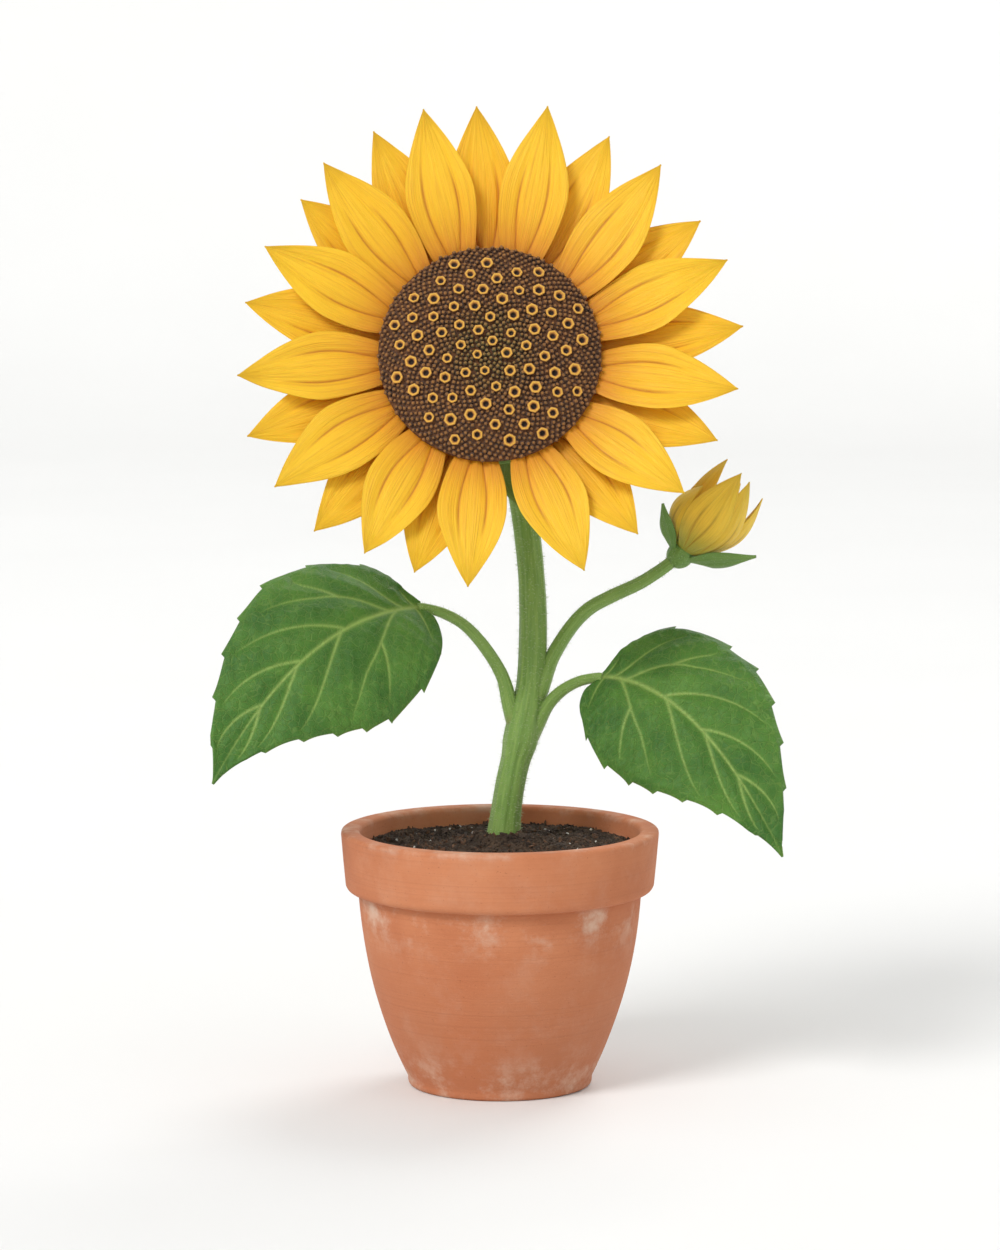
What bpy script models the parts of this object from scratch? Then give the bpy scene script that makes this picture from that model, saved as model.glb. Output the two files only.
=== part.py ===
"""Potted sunflower: one open flower, one bud and two leaves on a stem that grows in a clay pot.

Units are metres and +Z is up. The origin is the middle of the pot's foot, and the flower looks along -Y.
Every petal, bract, leaf and stem is its own object. Neighbours that touch in the plant keep GAP between them.
"""

import math

import bmesh
import bpy
from mathutils import Matrix, Vector

GAP = 0.0003

# Clay pot
POT_HEIGHT = 0.130
RIM_RADIUS = 0.080
RIM_WIDTH = 0.0095
RIM_DEPTH = 0.0305
RIM_TAPER = 0.0028
NECK_RADIUS = 0.0710
FOOT_RADIUS = 0.0465
BELLY = (0.0680, 0.0480)
WALL = 0.0070
FLOOR = 0.0090
DRAIN_RADIUS = 0.0090
TURNED_STEPS = 40

# Potting soil
SOIL_LEVEL = 0.1215
SOIL_MOUND = 0.0045
ROOT_DEPTH = 0.055

# Main stem, from the tap root to the neck behind the flower
STEM_ROUTE = (
    (0.0012, 0.0, ROOT_DEPTH + 0.006),
    (0.0015, 0.0, 0.095),
    (0.0015, 0.0, 0.120),
    (0.0048, 0.0, 0.150),
    (0.0115, 0.001, 0.180),
    (0.0155, 0.003, 0.205),
    (0.0166, 0.006, 0.235),
    (0.0150, 0.011, 0.265),
    (0.0108, 0.017, 0.295),
    (0.0045, 0.022, 0.320),
    (-0.0010, 0.022, 0.340),
)
STEM_RADIUS_SOIL = 0.0080
STEM_RADIUS_NECK = 0.0058
ROOT_TIP_RADIUS = 0.0030

# Flower head: its own frame has X to the right, Y up along the face and Z out of the face
HEAD_CENTRE = (-0.0050, -0.0290, 0.3705)
HEAD_LOOKS_UP = math.radians(21)
DISC_RADIUS = 0.0548
DISC_HEIGHT = 0.0090
SLOT_RADIUS = 0.0425
SLOT_DEPTH = 0.0095
HEAD_BACK = 0.0360

# Ray petals: (bearing of the root in degrees from the top of the face, reach of the tip, sideways lean in degrees)
FRONT_PETALS = (
    (17, 0.127, -4),
    (48, 0.126, -6),
    (72, 0.125, -3),
    (99, 0.123, 1),
    (127, 0.120, 1),
    (158, 0.122, 0),
    (187, 0.121, -2),
    (215, 0.121, -5),
    (240, 0.126, -4),
    (266, 0.124, -3),
    (293, 0.122, 2),
    (316, 0.125, 3),
    (341, 0.127, 4),
)
BACK_PETALS = (
    (29, 0.126, -1),
    (58, 0.124, -1),
    (84, 0.125, 0),
    (112, 0.120, 0),
    (142, 0.117, 0),
    (199, 0.118, -1),
    (225, 0.125, -2),
    (251, 0.126, -1),
    (282, 0.123, 0),
    (309, 0.122, 1),
    (332, 0.127, 1),
    (358, 0.127, -1),
)
PETAL_ROOT = 0.0440
PETAL_WIDTH = 0.0340
PETAL_THICKNESS = 0.0009
PETAL_TWIST = 0.075
PETAL_CUP = 0.0018
FRONT_LAYER = {"depth": 0.0029, "rise": 0.0150, "bow": 0.0034}
BACK_LAYER = {"depth": 0.0070, "rise": 0.0115, "bow": 0.0022}

# Green bracts that hold the flower head from behind
BRACT_COUNT = 12
BRACT_ROOT = 0.0540
BRACT_LENGTH = 0.0300
BRACT_WIDTH = 0.0190
BRACT_DEPTH = 0.0125

# Leaves
LEAF_THICKNESS = 0.0010
LEAF_HOLLOW = 0.10
LEAF_DROOP = 7.0
LEFT_LEAF = {
    "midrib": ((-0.0385, -0.0100, 0.2432), (-0.0960, -0.0480, 0.2458), (-0.1403, -0.0700, 0.1636)),
    "faces": ((0.38, -0.55, 0.74), (-0.10, -0.92, 0.30)),
    "length": 0.150,
    "upper_side": -1,
    "upper_width": 0.302,
    "lower_width": 0.322,
}
RIGHT_LEAF = {
    "midrib": ((0.0490, -0.0090, 0.2080), (0.0960, -0.0450, 0.2138), (0.1381, -0.0700, 0.1274)),
    "faces": ((-0.45, -0.55, 0.74), (0.10, -0.92, 0.30)),
    "length": 0.147,
    "upper_side": 1,
    "upper_width": 0.304,
    "lower_width": 0.298,
}
LEFT_STALK_ROUTE = (
    (0.0095, 0.0010, 0.1800),
    (0.0050, 0.0005, 0.1930),
    (0.0010, -0.0015, 0.2075),
    (-0.0070, -0.0045, 0.2215),
    (-0.0170, -0.0070, 0.2332),
    (-0.0275, -0.0085, 0.2397),
    (-0.0374, -0.0097, 0.2426),
)
RIGHT_STALK_ROUTE = (
    (0.0120, 0.0010, 0.1720),
    (0.0180, 0.0005, 0.1825),
    (0.0240, -0.0015, 0.1930),
    (0.0310, -0.0040, 0.2005),
    (0.0395, -0.0065, 0.2055),
    (0.0479, -0.0087, 0.2076),
)
STALK_RADIUS_STEM = 0.0036
STALK_RADIUS_LEAF = 0.0024

# Bud on its own side stem: its frame has Z along the bud and Y away from the viewer
BUD_BASE = (0.0903, 0.0120, 0.2668)
BUD_AXIS = (0.588, -0.100, 0.804)
BUD_KNOB_RADIUS = 0.0069
BUD_STEM_ROUTE = (
    (0.0150, 0.0020, 0.1900),
    (0.0205, 0.0025, 0.2020),
    (0.0265, 0.0035, 0.2170),
    (0.0350, 0.0050, 0.2307),
    (0.0440, 0.0070, 0.2400),
    (0.0550, 0.0090, 0.2460),
    (0.0700, 0.0108, 0.2528),
    (0.0815, 0.0118, 0.2600),
    (0.0880, 0.0120, 0.2650),
)
BUD_STEM_RADIUS_FOOT = 0.0039
BUD_STEM_RADIUS_TOP = 0.0030
BUD_PETAL_THICKNESS = 0.0008
# Bud petals: turn about the bud in degrees from the viewer's side, height of the tip, distance of the tip
# from the axis, swell of the belly, and how far the left and the right edge stand outside the middle
BUD_OUTER_PETALS = (
    (-7, 0.0530, 0.0070, 0.0106, 0.0012, 0.0014),
    (44, 0.0515, 0.0074, 0.0100, -0.0022, 0.0004),
    (109, 0.0470, 0.0174, 0.0127, -0.0070, 0.0000),
    (225, 0.0520, 0.0129, 0.0090, 0.0000, -0.0018),
    (282, 0.0355, 0.0123, 0.0097, 0.0010, -0.0020),
)
BUD_INNER_PETALS = (
    (-50, 0.0460, 0.0015, 0.0060, 0.0, 0.0),
    (70, 0.0475, 0.0025, 0.0060, 0.0, 0.0),
    (190, 0.0450, 0.0015, 0.0060, 0.0, 0.0),
)
BUD_OUTER_RING = {"foot_out": 0.0064, "foot_up": 0.0046, "half_width": 0.0108}
BUD_INNER_RING = {"foot_out": 0.0034, "foot_up": 0.0080, "half_width": 0.0084}
# Bud sepals: turn about the bud, spread from its axis and roll about their own length in degrees, length, half width
BUD_SEPALS = ((68, 53, -39, 0.0335, 0.0060), (-68, 54, 34, 0.0240, 0.0050), (170, 55, 0, 0.0250, 0.0048))


# ---------------------------------------------------------------- scene, materials and small helpers


def clear_scene():
    for obj in list(bpy.data.objects):
        bpy.data.objects.remove(obj, do_unlink=True)


def collection(name, hidden=False):
    made = bpy.data.collections.new(name)
    made.hide_render = hidden
    bpy.context.scene.collection.children.link(made)
    return made


def material(name, colour, roughness):
    made = bpy.data.materials.new(name)
    made.use_nodes = True
    shader = made.node_tree.nodes["Principled BSDF"]
    shader.inputs["Base Color"].default_value = (*colour, 1.0)
    shader.inputs["Roughness"].default_value = roughness
    shader.inputs["Metallic"].default_value = 0.0
    return made


def new_object(name, data, look, parent=None):
    made = bpy.data.objects.new(name, data)
    PARTS.objects.link(made)
    data.materials.append(look)
    if parent:
        made.parent = parent
    return made


def frame_empty(name, centre, right, up, out):
    """An empty whose X, Y and Z axes are the three given directions."""
    made = bpy.data.objects.new(name, None)
    PARTS.objects.link(made)
    turn = Matrix((right, up, out)).transposed().to_4x4()
    made.matrix_world = Matrix.Translation(Vector(centre)) @ turn
    bpy.context.view_layer.update()
    return made


def mix(a, b, share):
    return a + (b - a) * share


def bezier(points, share):
    """The point of a quadratic Bezier curve, and its direction there."""
    start, middle, end = (Vector(p) for p in points)
    first, second = mix(start, middle, share), mix(middle, end, share)
    return mix(first, second, share), (second - first).normalized()


def smooth_route(route, per_span):
    """Points along a Catmull-Rom curve through the route, with per_span steps between two of its points."""
    knots = [Vector(p) for p in route]
    knots = [2 * knots[0] - knots[1], *knots, 2 * knots[-1] - knots[-2]]
    made = []
    for a, b, c, d in zip(knots, knots[1:], knots[2:], knots[3:]):
        for step in range(per_span):
            t = step / per_span
            made.append(
                0.5 * (2 * b + (c - a) * t + (2 * a - 5 * b + 4 * c - d) * t * t + (3 * b - a - 3 * c + d) * t**3)
            )
    return [*made, knots[-2]]


# ---------------------------------------------------------------- shapes


def turned(name, profile, look, closed=False, parent=None):
    """A profile of (radius, height) points, top to bottom on its outer side, turned about Z."""
    mesh = bpy.data.meshes.new(name)
    count = len(profile)
    edges = [(i, i + 1) for i in range(count - 1)]
    if closed:
        edges.append((count - 1, 0))
    mesh.from_pydata([(radius, 0.0, height) for radius, height in profile], edges, [])
    made = new_object(name, mesh, look, parent)
    screw = made.modifiers.new("turn", "SCREW")
    screw.steps = screw.render_steps = TURNED_STEPS
    screw.use_merge_vertices = True
    screw.merge_threshold = 0.00005
    screw.use_smooth_shade = True
    return made


def tube(name, points, radii, look, resolution=2):
    """A round stem along the points, as a curve with one radius for each point."""
    curve = bpy.data.curves.new(name, "CURVE")
    curve.dimensions = "3D"
    curve.bevel_depth = max(radii)
    curve.bevel_resolution = resolution
    curve.use_fill_caps = True
    spline = curve.splines.new("POLY")
    spline.points.add(len(points) - 1)
    for knot, place, radius in zip(spline.points, points, radii):
        knot.co = (*place, 1.0)
        knot.radius = radius / curve.bevel_depth
    return new_object(name, curve, look)


def meshed(obj):
    """The curve's tube as a closed mesh object of the same name, in place of the curve."""
    name, look = obj.name, obj.data.materials[0]
    bpy.context.view_layer.update()
    graph = bpy.context.evaluated_depsgraph_get()
    mesh = bpy.data.meshes.new_from_object(obj.evaluated_get(graph))
    cleaned = bmesh.new()
    cleaned.from_mesh(mesh)
    bmesh.ops.remove_doubles(cleaned, verts=cleaned.verts, dist=0.00002)
    cleaned.to_mesh(mesh)
    cleaned.free()
    place = obj.matrix_world.copy()
    bpy.data.objects.remove(obj, do_unlink=True)
    mesh.materials.clear()
    made = new_object(name, mesh, look)
    made.name = name
    made.matrix_world = place
    mesh.shade_smooth()
    return made


def cutter_from(obj):
    """Moves an object out of the parts, to be used only by Booleans."""
    PARTS.objects.unlink(obj)
    CUTTERS.objects.link(obj)
    obj.hide_render = True
    obj.display_type = "WIRE"
    return obj


def cut(obj, cutter):
    made = obj.modifiers.new("clear of " + cutter.name, "BOOLEAN")
    made.operation = "DIFFERENCE"
    made.object = cutter


def blade(name, rows, columns, place, thickness, look, parent=None):
    """A thin sheet: place(along, across) gives its points, along from 0 to 1 and across from -1 to 1."""
    grid = bmesh.new()
    bmesh.ops.create_grid(grid, x_segments=columns, y_segments=rows, size=0.5)
    for vertex in grid.verts:
        vertex.co = place(vertex.co.y + 0.5, vertex.co.x * 2)
    mesh = bpy.data.meshes.new(name)
    grid.to_mesh(mesh)
    grid.free()
    mesh.shade_smooth()
    made = new_object(name, mesh, look, parent)
    solid = made.modifiers.new("thickness", "SOLIDIFY")
    solid.thickness = thickness
    solid.offset = 0.0
    return made


# ---------------------------------------------------------------- pot and soil


def pot_profile():
    """The pot's closed outline: rim, belly, foot, drain hole, floor and inner wall."""
    rim_bottom = POT_HEIGHT - RIM_DEPTH
    round_off = 0.0035
    outer = [
        (RIM_RADIUS - RIM_WIDTH + 0.0025, POT_HEIGHT),
        (RIM_RADIUS - 0.0025, POT_HEIGHT),
        (RIM_RADIUS - 0.0006, POT_HEIGHT - 0.0008),
        (RIM_RADIUS, POT_HEIGHT - 0.0030),
        (RIM_RADIUS - RIM_TAPER, rim_bottom + round_off),
        (RIM_RADIUS - RIM_TAPER - 0.0012, rim_bottom + 0.0009),
        (RIM_RADIUS - RIM_TAPER - round_off, rim_bottom),
        (NECK_RADIUS, rim_bottom - 0.0004),
    ]
    belly = ((NECK_RADIUS, rim_bottom - 0.0006, 0), (*BELLY, 0), (FOOT_RADIUS, 0.0035, 0))
    for step in range(1, 9):
        point, _ = bezier(belly, step / 8)
        outer.append((point.x, point.y))
    foot = [
        (FOOT_RADIUS - 0.0009, 0.0010),
        (FOOT_RADIUS - 0.0030, 0.0),
        (DRAIN_RADIUS + 0.0010, 0.0),
        (DRAIN_RADIUS, 0.0010),
        (DRAIN_RADIUS, FLOOR),
    ]
    return outer + foot + [(r, z) for r, z in inner_wall()]


def inner_wall():
    """The pot's inside from the floor's edge up to the rim."""
    corner = FOOT_RADIUS - WALL
    curve = ((corner, FLOOR + 0.0030, 0), (BELLY[0] - WALL, BELLY[1], 0), (NECK_RADIUS - WALL, POT_HEIGHT - RIM_DEPTH, 0))
    wall = [(corner - 0.0040, FLOOR)]
    for step in range(7):
        point, _ = bezier(curve, step / 6)
        wall.append((point.x, point.y))
    rim_inside = RIM_RADIUS - RIM_WIDTH
    wall += [(rim_inside - 0.0010, POT_HEIGHT - 0.0080), (rim_inside, POT_HEIGHT - 0.0025)]
    return wall


def soil_profile():
    """Soil up to its level, clear of the pot's wall, with a socket for the tap root and a small mound."""
    wall = [(r, z) for r, z in inner_wall() if z < SOIL_LEVEL - 0.004]
    last, above = wall[-1], next(p for p in inner_wall() if p[1] >= SOIL_LEVEL - 0.004)
    share = (SOIL_LEVEL - 0.001 - last[1]) / (above[1] - last[1])
    edge = mix(last[0], above[0], share) - GAP - 0.0002
    stem_hole = STEM_RADIUS_SOIL + 0.0018
    top = [(0.0, ROOT_DEPTH + 0.001), (ROOT_TIP_RADIUS + 0.0025, ROOT_DEPTH + 0.001)]
    top += [(stem_hole, 0.098), (stem_hole, SOIL_LEVEL + SOIL_MOUND)]
    for radius in (0.014, 0.021, 0.030, 0.042, 0.055):
        top.append((radius, SOIL_LEVEL + SOIL_MOUND * math.exp(-((radius / 0.024) ** 2)) - 0.02 * (radius - 0.030)))
    top += [(edge - 0.0020, SOIL_LEVEL - 0.0006), (edge, SOIL_LEVEL - 0.0020)]
    side = [(r - GAP - 0.0002, max(z, FLOOR + GAP)) for r, z in reversed(wall)]
    return top + side + [(0.0, FLOOR + GAP)]


def make_pot_and_soil():
    clay = material("terracotta", (0.60, 0.27, 0.15), 0.85)
    earth = material("potting soil", (0.07, 0.045, 0.03), 0.95)
    turned("pot", pot_profile(), clay, closed=True)
    turned("potting_soil", soil_profile(), earth)


# ---------------------------------------------------------------- stems


def tapered(count, start, end, tip=None, tip_count=0):
    """Radii from start to end, with the first tip_count growing from tip."""
    radii = [mix(start, end, i / (count - 1)) for i in range(count)]
    for i in range(tip_count):
        radii[i] = mix(tip, radii[i], i / tip_count)
    return radii


def head_axes():
    right = Vector((1, 0, 0))
    up = Vector((0, math.sin(HEAD_LOOKS_UP), math.cos(HEAD_LOOKS_UP)))
    return right, up, right.cross(up)


def bud_axes():
    out = Vector(BUD_AXIS).normalized()
    away = (Vector((0, 1, 0)) - out * out.y).normalized()
    return away.cross(out), away, out


def main_stem_points():
    """The stem's route, ending square to the back of the flower head."""
    _, _, out = head_axes()
    end = Vector(HEAD_CENTRE) - out * (HEAD_BACK + GAP)
    route = [*STEM_ROUTE, tuple(end - out * 0.009), tuple(end - out * 0.004), tuple(end)]
    return smooth_route(route, 2)


def make_main_stem(look):
    points = main_stem_points()
    radii = tapered(len(points), STEM_RADIUS_SOIL, STEM_RADIUS_NECK, ROOT_TIP_RADIUS, 4)
    meshed(tube("main_stem", points, radii, look))
    swollen = [radius + GAP for radius in radii]
    return cutter_from(meshed(tube("main_stem_room", points, swollen, look)))


def make_side_stem(name, route, foot, top, look, cutters):
    """A thinner stem that starts inside the main stem and is cut clear of it."""
    points = smooth_route(route, 2)
    made = meshed(tube(name, points, tapered(len(points), foot, top), look))
    for cutter in cutters:
        cut(made, cutter)
    return made


# ---------------------------------------------------------------- flower head


def petal_outline(along):
    """Half width of a ray petal, as a share of its full half width, from its root to its point."""
    widest = 0.48
    if along < widest:
        return 0.40 + 0.60 * math.sin(math.pi / 2 * along / widest)
    return max(1 - ((along - widest) / (1 - widest)) ** 1.6, 0.035)


def ray_petal(name, bearing, reach, lean, layer, look, head):
    """One ray petal in the head's frame: it rises from its layer, cups forward and leans sideways."""

    def place(along, across):
        out = mix(PETAL_ROOT, reach, along)
        turn = math.radians(bearing + lean * along)
        side = across * petal_outline(along) * PETAL_WIDTH / 2
        arch = max(math.sin(math.pi * along), 0.0) ** 1.5
        lift = layer["rise"] * along**1.5 + layer["bow"] * arch - layer["depth"]
        lift += PETAL_CUP * across * across * arch + PETAL_TWIST * side
        return (
            out * math.sin(turn) + side * math.cos(turn),
            out * math.cos(turn) - side * math.sin(turn),
            lift,
        )

    blade(name, 7, 4, place, PETAL_THICKNESS, look, head)


def head_bract(name, bearing, look, head):
    """One green bract, from the receptacle's edge outward behind the petals."""

    def place(along, across):
        out = BRACT_ROOT + BRACT_LENGTH * along
        width = (0.75 + 0.25 * math.sin(math.pi * along / 0.7)) if along < 0.35 else 1 - ((along - 0.35) / 0.65) ** 1.3
        side = across * max(width, 0.05) * BRACT_WIDTH / 2
        lift = -BRACT_DEPTH - 0.0035 * math.sin(math.pi * along * 0.75) + PETAL_TWIST * side
        turn = math.radians(bearing)
        return (
            out * math.sin(turn) + side * math.cos(turn),
            out * math.cos(turn) - side * math.sin(turn),
            lift,
        )

    blade(name, 5, 2, place, PETAL_THICKNESS, look, head)


def make_flower_head(green):
    yellow = material("ray petal yellow", (0.95, 0.62, 0.05), 0.55)
    back_yellow = material("back petal yellow", (0.88, 0.52, 0.04), 0.55)
    brown = material("disc floret brown", (0.16, 0.08, 0.035), 0.80)
    head = frame_empty("flower_head", HEAD_CENTRE, *head_axes())
    disc = [
        (0.0, DISC_HEIGHT - 0.0012),
        (0.012, DISC_HEIGHT - 0.0004),
        (0.024, DISC_HEIGHT),
        (0.036, DISC_HEIGHT - 0.0012),
        (0.046, DISC_HEIGHT - 0.0038),
        (DISC_RADIUS - 0.0018, 0.0032),
        (DISC_RADIUS, 0.0016),
        (DISC_RADIUS - 0.0012, 0.0006),
        (DISC_RADIUS - 0.0070, 0.0),
        (0.0, 0.0),
    ]
    turned("flower_disc", disc, brown, parent=head)
    receptacle = [
        (0.0, -GAP),
        (SLOT_RADIUS, -GAP),
        (SLOT_RADIUS, -SLOT_DEPTH),
        (0.0515, -SLOT_DEPTH),
        (0.0530, -0.0110),
        (0.0500, -0.0150),
        (0.0400, -0.0205),
        (0.0270, -0.0245),
        (0.0150, -0.0275),
        (0.0085, -0.0310),
        (STEM_RADIUS_NECK + 0.0008, -HEAD_BACK),
        (0.0, -HEAD_BACK),
    ]
    turned("flower_receptacle", receptacle, green, parent=head)
    for i, (bearing, reach, lean) in enumerate(FRONT_PETALS, 1):
        ray_petal(f"front_petal_{i:02d}", bearing, reach, lean, FRONT_LAYER, yellow, head)
    for i, (bearing, reach, lean) in enumerate(BACK_PETALS, 1):
        ray_petal(f"back_petal_{i:02d}", bearing, reach, lean, BACK_LAYER, back_yellow, head)
    for i in range(BRACT_COUNT):
        head_bract(f"head_bract_{i + 1:02d}", (i + 0.5) * 360 / BRACT_COUNT, green, head)


# ---------------------------------------------------------------- leaves


def leaf_outline(share, leaf, side):
    """(along, across) of the leaf's edge in leaf lengths, from the stalk round to the point.

    The upper half leaves the stalk in a slant, and the lower half hangs back past it in a round lobe.
    """
    if side == leaf["upper_side"]:
        width = leaf["upper_width"]
        first = ((0.006, 0.018), (0.080, 0.065), (0.020, width), (0.360, width))
        second = ((0.360, width), (0.600, width), (0.780, 0.155), (1.0, 0.006))
    else:
        width = leaf["lower_width"]
        first = ((0.006, 0.026), (-0.090, 0.105), (0.0, width), (0.400, width))
        second = ((0.400, width), (0.680, width), (0.780, 0.100), (1.0, 0.006))
    arc, t = (first, share / 0.4) if share < 0.4 else (second, (share - 0.4) / 0.6)
    weights = ((1 - t) ** 3, 3 * t * (1 - t) ** 2, 3 * t * t * (1 - t), t**3)
    return tuple(sum(w * p[axis] for w, p in zip(weights, arc)) for axis in (0, 1))


def leaf_blade(name, leaf, look):
    """A heart-shaped blade on a drooping midrib, a little hollow along it and turned down at its edges."""
    base = Vector(leaf["midrib"][0])

    def place(share, across):
        edge_along, edge_across = leaf_outline(share, leaf, 1 if across > 0 else -1)
        rib_along = share**1.15
        along = mix(rib_along, edge_along, abs(across))
        sideways = math.copysign(edge_across * abs(across), across) * leaf["length"]
        spine, direction = bezier(leaf["midrib"], max(along, 0.0))
        spine += direction * min(along, 0.0) * leaf["length"]
        face = mix(Vector(leaf["faces"][0]), Vector(leaf["faces"][1]), max(along, 0.0))
        face = (face - direction * face.dot(direction)).normalized()
        reach = abs(sideways)
        lift = LEAF_HOLLOW * reach - LEAF_DROOP * reach * reach
        return spine + face.cross(direction) * sideways + face * lift - base

    made = blade(name, 12, 8, place, LEAF_THICKNESS, look)
    made.location = base


# ---------------------------------------------------------------- bud


def bud_petal(name, petal, ring, look, bud):
    """A bud petal wrapped round the bud's axis, from the knob up to its point."""
    turn, tip_height, tip_out, swell, left, right = petal

    def place(along, across):
        out = mix(ring["foot_out"], tip_out, along**1.6) + swell * math.sin(math.pi * along**0.80)
        height = mix(ring["foot_up"], tip_height, along)
        if along < 0.42:
            width = 0.22 + 0.78 * math.sin(math.pi / 2 * along / 0.42)
        else:
            width = max(1 - ((along - 0.42) / 0.58) ** 1.6, 0.04)
        half = ring["half_width"] * width / max(out, 0.004)
        stand_off = right if across > 0 else left
        out += stand_off * abs(across) * min(1.0, 6 * along, 2.5 * (1 - along))
        angle = math.radians(turn) + across * half
        return (out * math.sin(angle), -out * math.cos(angle), height)

    blade(name, 7, 4, place, BUD_PETAL_THICKNESS, look, bud)


def bud_sepal(name, sepal, look, bud):
    """A narrow green sepal that spreads from the knob, curving in towards the bud."""
    turn, middle_spread, roll, length, half_width = sepal
    angle = math.radians(turn)
    radial = Vector((math.sin(angle), -math.cos(angle), 0))
    sideways = Vector((math.cos(angle), math.sin(angle), 0))
    foot = radial * 0.0076 + Vector((0, 0, 0.0012))

    def place(along, across):
        spread = math.radians(middle_spread) - 0.16 * (along - 0.5)
        heading = radial * math.sin(spread) + Vector((0, 0, math.cos(spread)))
        over = heading.cross(sideways)
        tilt = math.radians(roll) * min(1.0, 0.4 + 2 * along)
        width = max(math.sin(math.pi * (0.18 + 0.82 * along)) ** 0.9, 0.06) * half_width
        edge = sideways * math.cos(tilt) + over * math.sin(tilt)
        return foot + heading * length * along + edge * width * across + over * 0.0012 * across * across

    blade(name, 6, 2, place, BUD_PETAL_THICKNESS, look, bud)


def knob(name, radius, look, bud):
    """The small round base that the bud's petals and sepals grow from."""
    profile = [(radius * math.sin(a), radius * math.cos(a)) for a in (math.pi * i / 10 for i in range(11))]
    profile[0], profile[-1] = (0.0, radius), (0.0, -radius)
    return turned(name, profile, look, parent=bud)


def make_bud(green, stem_look, stem_room):
    yellow = material("bud petal yellow", (0.90, 0.66, 0.10), 0.55)
    bud = frame_empty("bud", BUD_BASE, *bud_axes())
    knob("bud_knob", BUD_KNOB_RADIUS, green, bud)
    knob_room = cutter_from(knob("bud_knob_room", BUD_KNOB_RADIUS + GAP, green, bud))
    make_side_stem(
        "bud_stem", BUD_STEM_ROUTE, BUD_STEM_RADIUS_FOOT, BUD_STEM_RADIUS_TOP, stem_look, (stem_room, knob_room)
    )
    for i, petal in enumerate(BUD_OUTER_PETALS, 1):
        bud_petal(f"bud_outer_petal_{i}", petal, BUD_OUTER_RING, yellow, bud)
    for i, petal in enumerate(BUD_INNER_PETALS, 1):
        bud_petal(f"bud_inner_petal_{i}", petal, BUD_INNER_RING, yellow, bud)
    for i, sepal in enumerate(BUD_SEPALS, 1):
        bud_sepal(f"bud_sepal_{i}", sepal, green, bud)


# ---------------------------------------------------------------- the whole plant

clear_scene()
PARTS = collection("potted sunflower")
CUTTERS = collection("cutters", hidden=True)

stem_green = material("stem green", (0.30, 0.45, 0.14), 0.60)
leaf_green = material("leaf green", (0.13, 0.32, 0.07), 0.55)
bract_green = material("bract green", (0.24, 0.42, 0.12), 0.60)

make_pot_and_soil()
stem_clearance = make_main_stem(stem_green)
make_side_stem(
    "left_leaf_stalk", LEFT_STALK_ROUTE, STALK_RADIUS_STEM, STALK_RADIUS_LEAF, stem_green, (stem_clearance,)
)
make_side_stem(
    "right_leaf_stalk", RIGHT_STALK_ROUTE, STALK_RADIUS_STEM, STALK_RADIUS_LEAF, stem_green, (stem_clearance,)
)
leaf_blade("left_leaf_blade", LEFT_LEAF, leaf_green)
leaf_blade("right_leaf_blade", RIGHT_LEAF, leaf_green)
make_flower_head(bract_green)
make_bud(bract_green, stem_green, stem_clearance)
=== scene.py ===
import math

import bmesh
import bpy
import numpy as np
from mathutils import Matrix, Vector, noise


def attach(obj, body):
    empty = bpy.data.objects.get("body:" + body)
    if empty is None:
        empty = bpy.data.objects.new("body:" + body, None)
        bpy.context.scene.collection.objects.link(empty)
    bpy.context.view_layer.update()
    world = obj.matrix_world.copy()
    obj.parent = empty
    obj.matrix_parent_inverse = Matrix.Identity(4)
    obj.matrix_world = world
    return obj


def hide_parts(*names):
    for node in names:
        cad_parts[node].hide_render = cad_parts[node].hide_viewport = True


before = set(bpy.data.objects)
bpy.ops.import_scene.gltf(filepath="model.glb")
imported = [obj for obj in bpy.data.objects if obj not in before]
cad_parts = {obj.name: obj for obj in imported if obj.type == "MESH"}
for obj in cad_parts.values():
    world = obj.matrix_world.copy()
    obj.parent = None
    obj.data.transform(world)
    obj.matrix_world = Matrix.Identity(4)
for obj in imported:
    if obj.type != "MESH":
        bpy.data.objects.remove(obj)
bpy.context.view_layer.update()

# ---------------------------------------------------------------- clay pot
# The pot is one piece of red clay, shaped on a turning mould and fired. It has a thick collar at the rim,
# a rounded belly and a drain hole in its foot. Water dries out through its wall and leaves pale salts on it.

POT_HEIGHT = 0.130
RIM_RADIUS = 0.080
RIM_WIDTH = 0.0095
RIM_BOTTOM = 0.0995
RIM_TAPER = 0.0028
NECK_RADIUS = 0.0710
FOOT_RADIUS = 0.0465
BELLY = (0.0680, 0.0480)
WALL = 0.0070
FLOOR = 0.0090
DRAIN_RADIUS = 0.0090

CLAY = (0.470, 0.148, 0.058)
CLAY_PALE = (0.590, 0.225, 0.102)
CLAY_DARK = (0.270, 0.076, 0.030)
SALTS = (0.700, 0.540, 0.420)


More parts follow.
